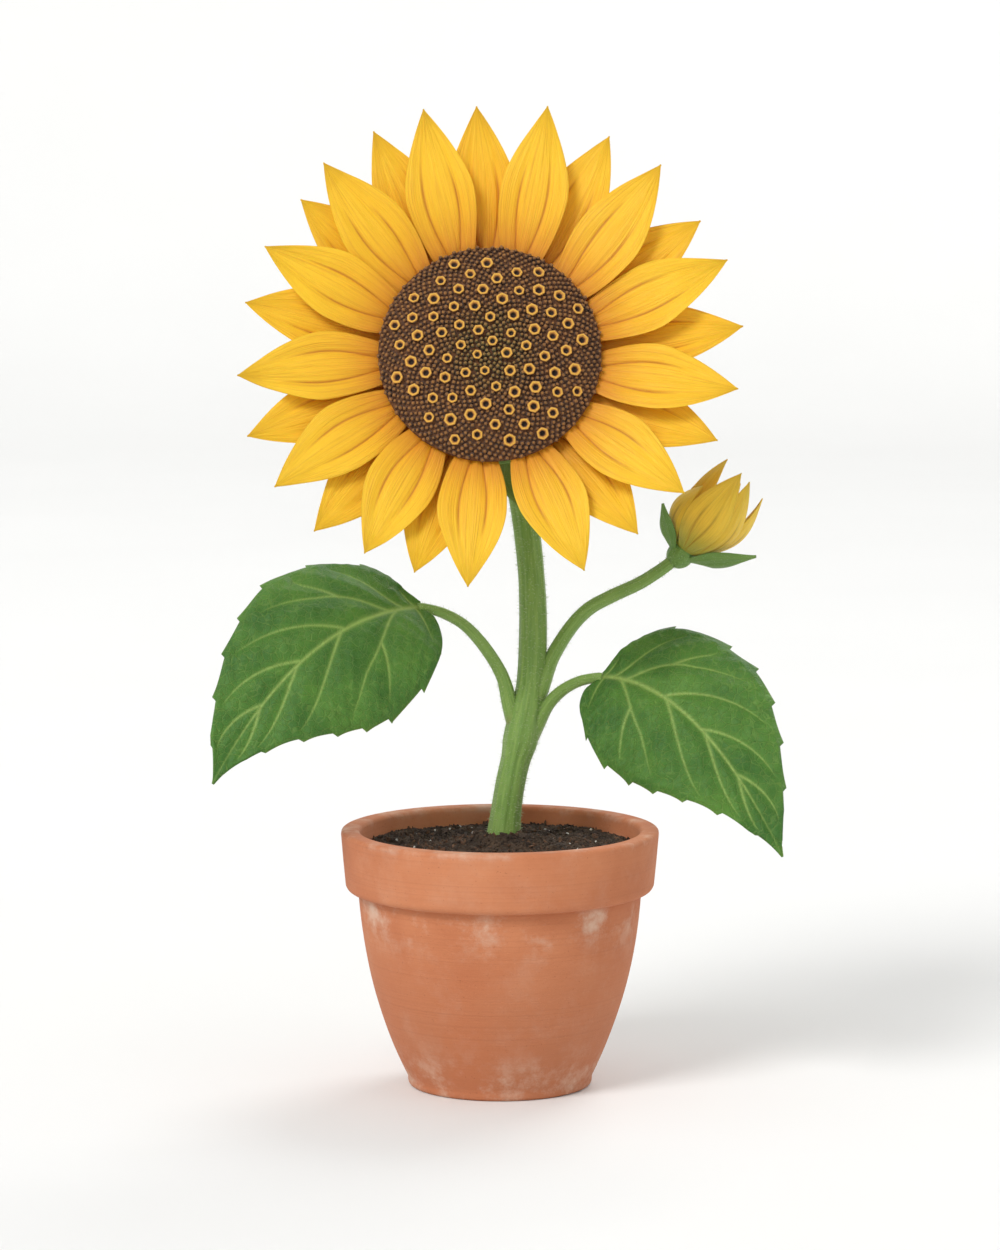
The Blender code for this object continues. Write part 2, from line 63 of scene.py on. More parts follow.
class Wire:
    """A socket in a tree of nodes. Sums on it add Math nodes, and node() adds a node of any other kind."""

    def __init__(self, tree, socket=None):
        self.tree = tree
        self.socket = socket

    def node(self, kind, settings=None, sockets=None, out=0):
        made = self.tree.nodes.new(kind)
        for name, value in (settings or {}).items():
            if name == "stops":
                stops = made.color_ramp.elements
                for place, _ in value[1:-1]:
                    stops.new(place)
                for stop, (place, colour) in zip(stops, value):
                    stop.position = place
                    stop.color = (*colour, 1.0)
            else:
                setattr(made, name, value)
        for name, value in (sockets or {}).items():
            if isinstance(value, Wire):
                self.tree.links.new(value.socket, made.inputs[name])
            else:
                made.inputs[name].default_value = value
        return Wire(self.tree, made.outputs[out])

    def beside(self, out):
        """Another output of the same node."""
        return Wire(self.tree, self.socket.node.outputs[out])

    def maths(self, operation, *values):
        return self.node("ShaderNodeMath", {"operation": operation}, dict(enumerate(values)))

    def vector_maths(self, operation, *values, out=0):
        return self.node("ShaderNodeVectorMath", {"operation": operation}, dict(enumerate(values)), out)

    def xyz(self, x, y, z):
        return self.node("ShaderNodeCombineXYZ", sockets={0: x, 1: y, 2: z})

    def stored(self, reading):
        """A reading kept on the points of the piece."""
        return self.node("ShaderNodeAttribute", {"attribute_name": reading}, out="Fac")

    def __add__(self, other):
        return self.maths("ADD", self, other)

    def __radd__(self, other):
        return self.maths("ADD", other, self)

    def __sub__(self, other):
        return self.maths("SUBTRACT", self, other)

    def __rsub__(self, other):
        return self.maths("SUBTRACT", other, self)

    def __mul__(self, other):
        return self.maths("MULTIPLY", self, other)

    def __rmul__(self, other):
        return self.maths("MULTIPLY", other, self)

    def __pow__(self, other):
        return self.maths("POWER", self, other)

    def between(self, low, high):
        """0 at low and 1 at high, with a soft ramp between them and flat outside."""
        sockets = {"Value": self, "From Min": low, "From Max": high}
        return self.node("ShaderNodeMapRange", {"interpolation_type": "SMOOTHSTEP"}, sockets)

    def paint(self, under, over):
        """The colour under, with the colour over laid on it where this value is 1."""
        under, over = (c if isinstance(c, Wire) else (*c, 1.0) for c in (under, over))
        return self.node("ShaderNodeMix", {"data_type": "RGBA"}, {0: self, 6: under, 7: over}, out=2)

    def stretched(self, x, y, z):
        """These coordinates with each axis multiplied, for streaks and for a pattern's scale."""
        return self.node("ShaderNodeMapping", sockets={"Vector": self, "Scale": (x, y, z)})

    def grain(self, scale, detail=3.0, roughness=0.5):
        """Soft noise over these coordinates, from 0 to 1."""
        return self.node("ShaderNodeTexNoise", sockets={
            "Vector": self, "Scale": scale, "Detail": detail, "Roughness": roughness})

    def solid(self):
        """Coordinates in the piece's own space, for patterns that don't follow its UV map."""
        return self.node("ShaderNodeTexCoord", out="Object")


def new_finish(name, coordinates="Object"):
    """A material, and the coordinates that its patterns read."""
    look = bpy.data.materials.new(name)
    look.use_nodes = True
    return look, Wire(look.node_tree).node("ShaderNodeTexCoord", out=coordinates)


def finish(look, base, coats, roughness, height, depth, **constants):
    """Joins colour, roughness and relief to the material's shader.

    Each coat is a mask and the colour that it lays over what is below it. Depth is the relief's height in metres.
    """
    colour = base
    for mask, over in coats:
        colour = mask.paint(colour, over)
    shader = look.node_tree.nodes["Principled BSDF"]
    relief = height.node("ShaderNodeBump", sockets={"Height": height, "Distance": depth, "Strength": 1.0})
    for name, wire in (("Base Color", colour), ("Roughness", roughness), ("Normal", relief)):
        look.node_tree.links.new(wire.socket, shader.inputs[name])
    for name, value in constants.items():
        shader.inputs[name.replace("_", " ")].default_value = value


def new_piece(name, points, faces, look):
    """An object with a smooth-shaded mesh and one material."""
    mesh = bpy.data.meshes.new(name)
    mesh.from_pydata(points, [], faces)
    mesh.shade_smooth()
    mesh.materials.append(look)
    piece = bpy.data.objects.new(name, mesh)
    bpy.context.scene.collection.objects.link(piece)
    return piece


def rounded(corners, steps=6):
    """The line through (radius, height, fillet) corners, with each corner rounded off by its fillet."""
    line = []
    for i, (radius, height, fillet) in enumerate(corners):
        corner = Vector((radius, height))
        if not fillet:
            line.append(tuple(corner))
            continue
        before = Vector(corners[i - 1][:2]) - corner
        after = Vector(corners[(i + 1) % len(corners)][:2]) - corner
        start, end = corner + before.normalized() * fillet, corner + after.normalized() * fillet
        for step in range(steps + 1):
            t = step / steps
            line.append(tuple(start * (1 - t) ** 2 + corner * 2 * t * (1 - t) + end * t * t))
    return line


def curve_points(start, middle, end, steps):
    """Points of a quadratic Bezier curve in two dimensions, ends included."""
    shares = [i / steps for i in range(steps + 1)]
    return [
        tuple(a * (1 - t) ** 2 + b * 2 * t * (1 - t) + c * t * t for a, b, c in zip(start, middle, end)) for t in shares
    ]


def turned(name, outline, look, steps=144, closed=False, wobble=None):
    """A turned shape about Z. A closed outline is a ring; an open one starts and ends on the axis."""
    points, rings = [], []
    for radius, height in outline:
        count = steps if radius > 0 else 1
        rings.append(range(len(points), len(points) + count))
        for i in range(count):
            angle = 2 * math.pi * i / steps
            point = Vector((radius * math.cos(angle), radius * math.sin(angle), height))
            points.append(wobble(point) if wobble else point)
    faces = []
    pairs = list(zip(rings, rings[1:])) + ([(rings[-1], rings[0])] if closed else [])
    for above, below in pairs:
        for i in range(steps):
            j = (i + 1) % steps
            if len(above) == 1:
                faces.append((above[0], below[i], below[j]))
            elif len(below) == 1:
                faces.append((above[i], below[0], above[j]))
            else:
                faces.append((above[i], below[i], below[j], above[j]))
    return new_piece(name, points, faces, look)


def hand_turned(point):
    """Leaves the clay a little out of round, with the fine rings of the turning tool."""
    swell = noise.noise(point * 22) * 0.00035 + math.sin(point.z * 2600) * 0.00003
    radial = Vector((point.x, point.y, 0)).normalized()
    return point + radial * swell if 0.004 < point.z < 0.128 else point


pot_outline = rounded([
    (RIM_RADIUS - RIM_WIDTH, POT_HEIGHT, 0.0026),
    (RIM_RADIUS, POT_HEIGHT, 0.0022),
    (RIM_RADIUS - RIM_TAPER * 0.5, (POT_HEIGHT + RIM_BOTTOM) / 2, 0),
    (RIM_RADIUS - RIM_TAPER, RIM_BOTTOM, 0.0034),
    (NECK_RADIUS, RIM_BOTTOM - 0.0003, 0.0009),
    *[(*p, 0) for p in curve_points((NECK_RADIUS, RIM_BOTTOM - 0.002), BELLY, (FOOT_RADIUS, 0.0045), 40)],
    (FOOT_RADIUS - 0.0002, 0.0, 0.0026),
    (DRAIN_RADIUS, 0.0, 0.0012),
    (DRAIN_RADIUS, FLOOR, 0.0012),
    (FOOT_RADIUS - WALL - 0.0005, FLOOR, 0.0026),
    *[(*p, 0) for p in curve_points((FOOT_RADIUS - WALL, FLOOR + 0.003), (BELLY[0] - WALL, BELLY[1]),
                                    (NECK_RADIUS - WALL, RIM_BOTTOM), 20)],
    (RIM_RADIUS - RIM_WIDTH - 0.0010, POT_HEIGHT - 0.0080, 0.0020),
])

clay, place = new_finish("terracotta clay")
height = place.node("ShaderNodeSeparateXYZ", sockets={0: place}, out="Z")
blotches = place.grain(17.0, 5.0, 0.6)
rings = place.stretched(0.25, 0.25, 130.0).grain(6.0, 4.0, 0.6)
specks = place.grain(900.0, 2.0, 0.7)
pores = place.grain(2600.0, 2.0, 0.6)
damp = height.between(0.100, 0.020) * blotches.between(0.30, 0.75)
collar_salts = height.between(0.1010, 0.0955) * height.between(0.070, 0.0955)
foot_salts = height.between(0.030, 0.004)
lip_salts = height.between(0.1255, 0.1300)
salt_patches = place.grain(46.0, 6.0, 0.68).between(0.44, 0.74)
salts = (collar_salts * 0.62 + foot_salts * 0.55 + lip_salts * 0.50 + 0.10) * salt_patches
finish(clay, CLAY, (
    (blotches.between(0.25, 0.80), CLAY_PALE),
    (rings.between(0.45, 0.80) * 0.22, CLAY_DARK),
    (damp * 0.45, CLAY_DARK),
    (specks.between(0.64, 0.76) * 0.55, CLAY_DARK),
    (specks.between(0.36, 0.26) * 0.50, CLAY_PALE),
    (salts, SALTS),
), 0.74 + 0.20 * blotches - 0.10 * damp, rings * 0.55 + pores * 0.30 + specks * 0.30, 0.00035)

clay_pot = turned("clay_pot", pot_outline, clay, steps=160, closed=True, wobble=hand_turned)
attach(clay_pot, "root")
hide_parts("pot")

# ---------------------------------------------------------------- potting soil
# Loose dark potting mix of peat, bark and coarse sand, with a few white grains of perlite. It is filled in up
# to a finger's width below the rim, heaped a little round the stem and pressed down by hand.

SOIL_LEVEL = 0.1215
SOIL_MOUND = 0.0045
MOUND_SPREAD = 0.024
SOIL_EDGE = 0.0690
PEAT = (0.034, 0.020, 0.012)
PEAT_DRY = (0.105, 0.064, 0.038)
PEAT_PAINTED_SHADE = (0.012, 0.007, 0.004)
BARK = (0.150, 0.072, 0.034)
BARK_DARK = (0.050, 0.024, 0.012)
PERLITE = (0.800, 0.780, 0.730)
PERLITE_PIT_PAINTED_SHADE = (0.520, 0.490, 0.430)


def lumpy(point):
    """Raises and sinks the soil's top in clods and crumbs; its sides stay against the pot."""
    if point.z < SOIL_LEVEL - 0.0025:
        return point
    clods = noise.fractal(point * 95, 0.8, 2.1, 3) * 0.0016
    crumbs = abs(noise.noise(point * 420)) * 0.0016
    out = Vector((point.x, point.y)).length
    edge = min(1.0, (SOIL_EDGE - out) / 0.004)
    collar = 0.0026 * math.exp(-(((out - 0.0118) / 0.0036) ** 2)) * (0.9 + noise.noise(point * 300))
    return point + Vector((0, 0, clods * (0.45 + 0.55 * edge) + crumbs + collar))


def heaped(radius):
    """How high the soil stands at a distance from the pot's middle."""
    return SOIL_LEVEL + SOIL_MOUND * math.exp(-((radius / MOUND_SPREAD) ** 2)) - 0.02 * (radius - 0.030)


top_line = [(r, heaped(r)) for r in (SOIL_EDGE * (i / 64) ** 0.85 for i in range(65))]
side_line = curve_points((NECK_RADIUS - WALL, RIM_BOTTOM), (BELLY[0] - WALL, BELLY[1]),
                         (FOOT_RADIUS - WALL, FLOOR + 0.003), 10)
soil_outline = [*top_line, (SOIL_EDGE, 0.1185), *[(r - 0.0004, z) for r, z in side_line],
                (FOOT_RADIUS - WALL - 0.004, FLOOR + 0.0004), (0.0, FLOOR + 0.0004)]

soil, place = new_finish("potting mix")
clods = place.grain(120.0, 5.0, 0.65)
crumbs = place.grain(900.0, 4.0, 0.7)
finish(soil, PEAT, (
    (clods.between(0.35, 0.75), PEAT_DRY),
    (crumbs.between(0.55, 0.72) * 0.6, BARK),
    # Where the crumb noise is low, in the hollows of the relief, the peat is darkened with painted shade.
    (crumbs.between(0.42, 0.30) * 0.8, PEAT_PAINTED_SHADE),
), 0.97 - 0.10 * crumbs, crumbs + clods * 0.5, 0.0011)

soil_bed = turned("soil_bed", soil_outline, soil, steps=200, wobble=lumpy)
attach(soil_bed, "root")
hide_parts("potting_soil")


def new_tree(name, sizes):
    """An empty Geometry Nodes tree with the named inputs, and the wire of its first input."""
    tree = bpy.data.node_groups.new(name, "GeometryNodeTree")
    tree.interface.new_socket("Ground", in_out="INPUT", socket_type="NodeSocketGeometry")
    for size, kind in sizes.items():
        tree.interface.new_socket(size, in_out="INPUT", socket_type="NodeSocket" + kind)
    tree.interface.new_socket("Grown", in_out="OUTPUT", socket_type="NodeSocketGeometry")
    return tree, Wire(tree).node("NodeGroupInput", out="Ground")


def chance(given, kind, least, most):
    """A random FLOAT or FLOAT_VECTOR for each point, from the tree's seed."""
    first, out = (0, 0) if kind == "FLOAT_VECTOR" else (2, 1)
    return given.node("FunctionNodeRandomValue", {"data_type": kind},
                      {first: least, first + 1: most, "Seed": given.beside("Seed")}, out)


def finish_tree(tree, given, spots, facing, lean, size):
    """Ends a tree: its shape on each spot, turned any way round and leaned at random up to the lean, and painted."""
    most = given.xyz(lean, lean, math.pi)
    turn = chance(given, "FLOAT_VECTOR", most.vector_maths("MULTIPLY", most, (-1.0, -1.0, -1.0)), most)
    rotation = given.node("FunctionNodeRotateRotation", {"rotation_space": "LOCAL"}, {
        "Rotation": facing, "Rotate By": given.node("FunctionNodeEulerToRotation", sockets={0: turn})})
    shape = given.node("GeometryNodeObjectInfo", sockets={"Object": given.beside("Shape")}, out="Geometry")
    copies = given.node("GeometryNodeInstanceOnPoints", sockets={
        "Points": spots, "Instance": shape, "Rotation": rotation, "Scale": size})
    whole = given.node("GeometryNodeRealizeInstances", sockets={"Geometry": copies})
    painted = given.node("GeometryNodeSetMaterial", sockets={"Geometry": whole, "Material": given.beside("Look")})
    tree.links.new(painted.socket, tree.nodes.new("NodeGroupOutput").inputs["Grown"])
    return tree


def strewn_tree():
    """Copies a shape over the marked part of a surface: standing on it, turned, leaned and sized at random."""
    tree, given = new_tree("strewn", {
        "Shape": "Object", "Per Square Metre": "Float", "Smallest": "Vector", "Largest": "Vector",
        "Lean": "Float", "Seed": "Int", "Look": "Material"})
    marked = given.node("GeometryNodeInputNamedAttribute", sockets={"Name": "grows"})
    spots = given.node("GeometryNodeDistributePointsOnFaces", sockets={
        "Mesh": given, "Selection": marked.maths("GREATER_THAN", marked, 0.5),
        "Density": given.beside("Per Square Metre"), "Seed": given.beside("Seed")})
    size = chance(given, "FLOAT_VECTOR", given.beside("Smallest"), given.beside("Largest"))
    return finish_tree(tree, given, spots, spots.beside("Rotation"), given.beside("Lean"), size)


def grow(name, ground, tree, sizes):
    """Runs a Geometry Nodes tree over a mesh and keeps what it makes as a plain mesh."""
    worker = bpy.data.objects.new(name, ground)
    bpy.context.scene.collection.objects.link(worker)
    recipe = worker.modifiers.new("grow", "NODES")
    recipe.node_group = tree
    for item in tree.interface.items_tree:
        if item.in_out == "INPUT" and item.name in sizes:
            recipe[item.identifier] = sizes[item.name]
    graph = bpy.context.evaluated_depsgraph_get()
    made = bpy.data.meshes.new_from_object(worker.evaluated_get(graph), preserve_all_data_layers=True, depsgraph=graph)
    worker.modifiers.clear()
    worker.data = made
    return worker


def mark(piece, where):
    """Marks the points of a piece that things may be strewn on."""
    grows = piece.data.attributes.new("grows", "FLOAT", "POINT")
    grows.data.foreach_set("value", [float(where(v)) for v in piece.data.vertices])


def template(name, build):
    """A small shape to copy. It isn't a piece, and is taken away once its copies are made."""
    shape = bmesh.new()
    build(shape)
    mesh = bpy.data.meshes.new(name)
    shape.to_mesh(mesh)
    shape.free()
    made = bpy.data.objects.new(name, mesh)
    bpy.context.scene.collection.objects.link(made)
    return made


def crumb_shape(shape):
    bmesh.ops.create_icosphere(shape, subdivisions=1, radius=1.0)
    for vertex in shape.verts:
        vertex.co *= 1 + 0.35 * noise.noise(vertex.co * 1.7 + Vector((3, 1, 4)))


grains, place = new_finish("perlite")
pits = place.grain(1400.0, 3.0, 0.6)
# The white grains are grey in the low places of their pitted relief: painted shade.
finish(grains, PERLITE_PIT_PAINTED_SHADE, ((pits.between(0.35, 0.60), PERLITE),), 0.80 + 0.15 * pits, pits, 0.0005)
bark_look, place = new_finish("bark chips")
fibres = place.stretched(1.0, 1.0, 3.0).grain(500.0, 3.0, 0.6)
finish(bark_look, BARK_DARK, ((fibres.between(0.30, 0.70), BARK),), 0.80 + 0.15 * fibres, fibres, 0.0006)

strewn = strewn_tree()
crumb = template("crumb", crumb_shape)
mark(soil_bed, lambda v: v.co.z > SOIL_LEVEL - 0.0022 and Vector((v.co.x, v.co.y)).length < SOIL_EDGE - 0.0015)
for name, look, per_square_metre, smallest, largest, seed in (
    ("soil_crumbs", soil, 300000, (0.0004,) * 3, (0.0015, 0.0015, 0.0012), 3),
    ("bark_chips", bark_look, 21000, (0.0006, 0.0006, 0.0004), (0.0030, 0.0015, 0.0010), 5),
    ("perlite_grains", grains, 4200, (0.0006,) * 3, (0.0014, 0.0014, 0.0013), 8),
):
    strewing = grow(name, soil_bed.data, strewn, {
        "Shape": crumb, "Per Square Metre": float(per_square_metre), "Smallest": smallest, "Largest": largest,
        "Lean": math.pi, "Seed": seed, "Look": look})
    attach(strewing, "root")
bpy.data.objects.remove(crumb)

# ---------------------------------------------------------------- main stem
# A ridged green stem, finger-thick at the soil, that has grown up in a slow bend to the flower. It is a little
# swollen where each stalk leaves it, and rough all over with short white hairs.

STEM_ROUTE = (
    (0.0012, 0.0, 0.061), (0.0015, 0.0, 0.095), (0.0015, 0.0, 0.120), (0.0048, 0.0, 0.150), (0.0115, 0.001, 0.180),
    (0.0155, 0.003, 0.205), (0.0166, 0.006, 0.235), (0.0150, 0.011, 0.265), (0.0108, 0.017, 0.295),
    (0.0045, 0.022, 0.320), (-0.0010, 0.022, 0.340),
)
STEM_FOOT = 0.0080
STEM_NECK = 0.0058
STEM_JOINTS = (0.1735, 0.1815, 0.1915)
HEAD_CENTRE = Vector((-0.0050, -0.0290, 0.3705))
HEAD_LOOKS_UP = math.radians(21)
HEAD_BACK = 0.0360
STEM_GREEN = (0.130, 0.255, 0.038)
STEM_PALE = (0.235, 0.370, 0.078)
STEM_FLUSH = (0.210, 0.100, 0.055)
HAIR_WHITE = (0.720, 0.760, 0.600)
HAIR_RADIUS = 0.00009
HAIRS_PER_SQUARE_METRE = 260000

head_out = Vector((0, -math.cos(HEAD_LOOKS_UP), math.sin(HEAD_LOOKS_UP)))
head_up = Vector((0, math.sin(HEAD_LOOKS_UP), math.cos(HEAD_LOOKS_UP)))
head_place = Matrix.Translation(HEAD_CENTRE) @ Matrix(((1, 0, 0), head_up, head_out)).transposed().to_4x4()


def smooth_route(route, per_span):
    """Points along a Catmull-Rom curve through the route, with per_span steps between two of its points."""
    knots = [Vector(p) for p in route]
    knots = [2 * knots[0] - knots[1], *knots, 2 * knots[-1] - knots[-2]]
    made = []
    for a, b, c, d in zip(knots, knots[1:], knots[2:], knots[3:]):
        for step in range(per_span):
            t = step / per_span
            bend = (2 * a - 5 * b + 4 * c - d) * t * t + (3 * b - a - 3 * c + d) * t**3
            made.append(0.5 * (2 * b + (c - a) * t + bend))
    return [*made, knots[-2]]


def stem(name, route, look, radius_at, sides):
    """A closed stalk along a route. radius_at(share, metres, angle, point) gives its radius; angle 0 is in front."""
    points, lengths = [], [0.0]
    for here, after in zip(route, route[1:]):
        lengths.append(lengths[-1] + (after - here).length)
    front = Vector((0, -1, 0))
    for i, centre in enumerate(route):
        along = (route[min(i + 1, len(route) - 1)] - route[max(i - 1, 0)]).normalized()
        front = (front - along * front.dot(along)).normalized()
        side = along.cross(front)
        for j in range(sides):
            angle = 2 * math.pi * j / sides
            radius = radius_at(lengths[i] / lengths[-1], lengths[i], angle, centre)
            points.append(centre + (front * math.cos(angle) + side * math.sin(angle)) * radius)
    faces = []
    for i in range(len(route) - 1):
        for j in range(sides):
            k = (j + 1) % sides
            faces.append((i * sides + j, i * sides + k, (i + 1) * sides + k, (i + 1) * sides + j))
    points += [route[0], route[-1]]
    last = (len(route) - 1) * sides
    for j in range(sides):
        k = (j + 1) % sides
        faces.append((j, len(points) - 2, k))
        faces.append((last + j, last + k, len(points) - 1))
    made = new_piece(name, points, faces, look)
    turns = [2 * math.pi * j / sides for _ in route for j in range(sides)]
    for reading, values in (
        ("along", [*(metres for metres in lengths for _ in range(sides)), 0, lengths[-1]]),
        ("front", [*map(math.cos, turns), 0, 0]),
        ("side", [*map(math.sin, turns), 0, 0]),
    ):
        made.data.attributes.new(reading, "FLOAT", "POINT").data.foreach_set("value", values)
    return made


def stem_finish(name, green, pale, flush_reach):
    """Green stem skin: pale along its ridges, streaked, and flushed with purple towards its foot."""
    look, place = new_finish(name)
    along = place.stored("along")
    streaks = place.xyz(place.stored("front"), place.stored("side"), along * 9.0).grain(6.5, 3.0, 0.55)
    blotches = place.grain(70.0, 4.0, 0.6)
    fuzz = place.grain(2400.0, 2.0, 0.6)
    finish(look, green, (
        (streaks.between(0.25, 0.80), pale),
        (blotches.between(0.45, 0.75) * 0.35, pale),
        (along.between(flush_reach, 0.0) * (0.30 + 0.60 * streaks), STEM_FLUSH),
        (fuzz.between(0.66, 0.74) * 0.35, HAIR_WHITE),
    ), 0.46 + 0.22 * streaks, streaks * 0.7 + fuzz * 0.3, 0.0004, Sheen_Weight=0.10)
    return look


def main_stem_radius(share, metres, angle, point):
    ribs = 0.030 * math.cos(9 * angle + 5 * share) + 0.014 * math.cos(17 * angle + 1.3)
    joints = sum(0.0013 * math.exp(-(((point.z - z) / 0.0055) ** 2)) for z in STEM_JOINTS)
    lean = 1 + 0.05 * noise.noise(point * 45)
    root = min(1.0, 0.38 + 0.62 * max(0.0, (point.z - 0.061) / 0.040))
    foot = 0.0012 * math.exp(-(((point.z - SOIL_LEVEL) / 0.010) ** 2))
    neck = 0.0005 * max(0.0, share - 0.93) / 0.07
    return ((STEM_FOOT + (STEM_NECK - STEM_FOOT) * share) * root + joints + foot) * lean * (1 + ribs) + neck


stem_end = HEAD_CENTRE - head_out * (HEAD_BACK - 0.004)
stem_line = smooth_route([*STEM_ROUTE, stem_end - head_out * 0.013, stem_end - head_out * 0.007, stem_end], 8)
stem_skin = stem_finish("stem skin", STEM_GREEN, STEM_PALE, 0.085)
green_stem = stem("green_stem", stem_line, stem_skin, main_stem_radius, 72)
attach(green_stem, "root")
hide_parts("main_stem")


def bristle(shape):
    """A thin hair, thick at its root, that stands along Z."""
    root = [shape.verts.new((math.cos(a), math.sin(a), -0.1)) for a in (0.0, 2.094, 4.189)]
    tip = shape.verts.new((0.35, 0, 1))
    for i in range(3):
        shape.faces.new((root[i], root[(i + 1) % 3], tip))
    shape.faces.new(root[::-1])


hair_look, place = new_finish("white hairs")
along_hair = place.grain(700.0, 2.0, 0.5)
finish(hair_look, HAIR_WHITE, ((along_hair, STEM_PALE),), 0.55 + 0.1 * along_hair, along_hair, 0.00005)
hair = template("hair", bristle)


def hairs(name, ground, per_square_metre, length, seed):
    """Short hairs over the marked part of a piece."""
    thick = HAIR_RADIUS * 1.5
    return grow(name, ground.data, strewn, {
        "Shape": hair, "Per Square Metre": float(per_square_metre),
        "Smallest": (HAIR_RADIUS, HAIR_RADIUS, length * 0.5), "Largest": (thick, thick, length),
        "Lean": 0.55, "Seed": seed, "Look": hair_look})


mark(green_stem, lambda v: v.co.z > SOIL_LEVEL + 0.004)
stem_hairs = hairs("stem_hairs", green_stem, HAIRS_PER_SQUARE_METRE, 0.0024, 11)
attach(stem_hairs, "root")

# ---------------------------------------------------------------- leaf stalks and bud stem
# Three thinner stems that have grown out of the main stem with a flared foot. The leaf stalks have a shallow
# channel along their top, and the bud's stem is round.

STALK_GREEN = (0.140, 0.275, 0.042)
STALK_PALE = (0.260, 0.400, 0.088)
# Each stem's node, its radius at its foot and at its top, and the points it grows through.
SIDE_STEMS = {
    "left_petiole": ("left_leaf_stalk", 0.0036, 0.0024, (
        (0.0095, 0.0010, 0.1800), (0.0050, 0.0005, 0.1930), (0.0010, -0.0015, 0.2075), (-0.0070, -0.0045, 0.2215),
        (-0.0170, -0.0070, 0.2332), (-0.0275, -0.0085, 0.2397), (-0.0374, -0.0097, 0.2426),
        (-0.0410, -0.0112, 0.2428))),
    "right_petiole": ("right_leaf_stalk", 0.0036, 0.0024, (
        (0.0120, 0.0010, 0.1720), (0.0180, 0.0005, 0.1825), (0.0240, -0.0015, 0.1930), (0.0310, -0.0040, 0.2005),
        (0.0395, -0.0065, 0.2055), (0.0479, -0.0087, 0.2076), (0.0512, -0.0100, 0.2078))),
    "bud_stalk": ("bud_stem", 0.0039, 0.0030, (
        (0.0150, 0.0020, 0.1900), (0.0205, 0.0025, 0.2020), (0.0265, 0.0035, 0.2170), (0.0350, 0.0050, 0.2307),
        (0.0440, 0.0070, 0.2400), (0.0550, 0.0090, 0.2460), (0.0700, 0.0108, 0.2528), (0.0815, 0.0118, 0.2600),
        (0.0880, 0.0120, 0.2650))),
}

stalk_skin = stem_finish("stalk skin", STALK_GREEN, STALK_PALE, 0.012)
for order, (name, (node, foot, top, route)) in enumerate(SIDE_STEMS.items()):
    channel = 0.0 if node == "bud_stem" else 0.16

    def stalk_radius(share, metres, angle, point):
        flare = 0.0016 * math.exp(-((metres / 0.016) ** 2))
        ribs = 0.035 * math.cos(7 * angle + 4 * share) + 0.02 * noise.noise(point * 150)
        groove = channel * math.exp(-(((angle - math.pi) / 0.45) ** 2)) * min(1.0, share / 0.3)
        return (foot + (top - foot) * share + flare) * (1 + ribs - groove)

    stalk = stem(name, smooth_route(route, 8), stalk_skin, stalk_radius, 40)
    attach(stalk, "root")
    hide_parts(node)
    mark(stalk, lambda v: True)
    stalk_hairs = hairs(name + "_hairs", stalk, HAIRS_PER_SQUARE_METRE, 0.0018, 20 + order)
    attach(stalk_hairs, "root")

# ---------------------------------------------------------------- leaves
# Two heart-shaped blades, one on each stalk, that droop from their own weight. The upper face is deep green and
# quilted between sunken pale veins; the veins stand out below. The edge has small teeth that point forward.

LEAF_HOLLOW = 0.10
LEAF_DROOP = 7.0
LEAF_THICKNESS = 0.0007
LEAF_TEETH = 0.017
VEIN_WIDTH = 0.00092
LEAVES = {
    "left_leaf": {
        "node": "left_leaf_blade", "length": 0.150, "upper_width": 0.302, "lower_width": 0.322, "seed": 2,
        "midrib": ((-0.0385, -0.0100, 0.2432), (-0.0960, -0.0480, 0.2458), (-0.1403, -0.0700, 0.1636)),
        "faces": ((0.38, -0.55, 0.74), (-0.10, -0.92, 0.30)), "upper_side": -1},
    "right_leaf": {
        "node": "right_leaf_blade", "length": 0.147, "upper_width": 0.304, "lower_width": 0.298, "seed": 7,
        "midrib": ((0.0490, -0.0090, 0.2080), (0.0960, -0.0450, 0.2138), (0.1381, -0.0700, 0.1274)),
        "faces": ((-0.45, -0.55, 0.74), (0.10, -0.92, 0.30)), "upper_side": 1},
}
# Each vein's start, bend and end: its share of the way along the blade, and across it on the upper (+) or lower side.
MIDRIB = ((0.0, 0.0), (0.5, 0.0), (1.0, 0.0))
SIDE_VEINS = (
    ((0.05, 0.0), (0.06, 0.35), (0.13, 0.76)),
    ((0.10, 0.0), (0.20, 0.34), (0.34, 0.84)),
    ((0.18, 0.0), (0.34, 0.38), (0.54, 0.80)),
    ((0.355, 0.40), (0.385, 0.58), (0.41, 0.84)),
    ((0.39, 0.0), (0.50, 0.32), (0.68, 0.82)),
    ((0.59, 0.0), (0.67, 0.28), (0.82, 0.78)),
    ((0.77, 0.0), (0.82, 0.28), (0.92, 0.72)),
    ((0.06, 0.0), (0.06, -0.34), (0.18, -0.80)),
    ((0.14, 0.0), (0.31, -0.24), (0.54, -0.84)),
    ((0.325, -0.33), (0.345, -0.58), (0.39, -0.86)),
    ((0.41, 0.0), (0.53, -0.24), (0.73, -0.84)),
    ((0.61, 0.0), (0.71, -0.20), (0.86, -0.78)),
    ((0.78, 0.0), (0.84, -0.25), (0.92, -0.70)),
)
LEAF_GREEN = (0.034, 0.125, 0.014)
LEAF_LIGHT = (0.085, 0.215, 0.026)
LEAF_DEEP = (0.016, 0.070, 0.009)
LEAF_RIM = (0.190, 0.300, 0.060)
LEAF_UNDER = (0.260, 0.400, 0.170)
VEIN_PALE = (0.300, 0.430, 0.105)


def unit(vectors):
    """The same vectors, each one metre long."""
    return vectors / np.maximum(np.linalg.norm(vectors, axis=-1, keepdims=True), 1e-12)


def quadratic(points, share):
    """Points of a quadratic Bezier curve at each share, and the curve's directions there."""
    start, middle, end = (np.array(p) for p in points)
    t = share[..., None]
    first, second = start + (middle - start) * t, middle + (end - middle) * t
    return first + (second - first) * t, unit(second - first)


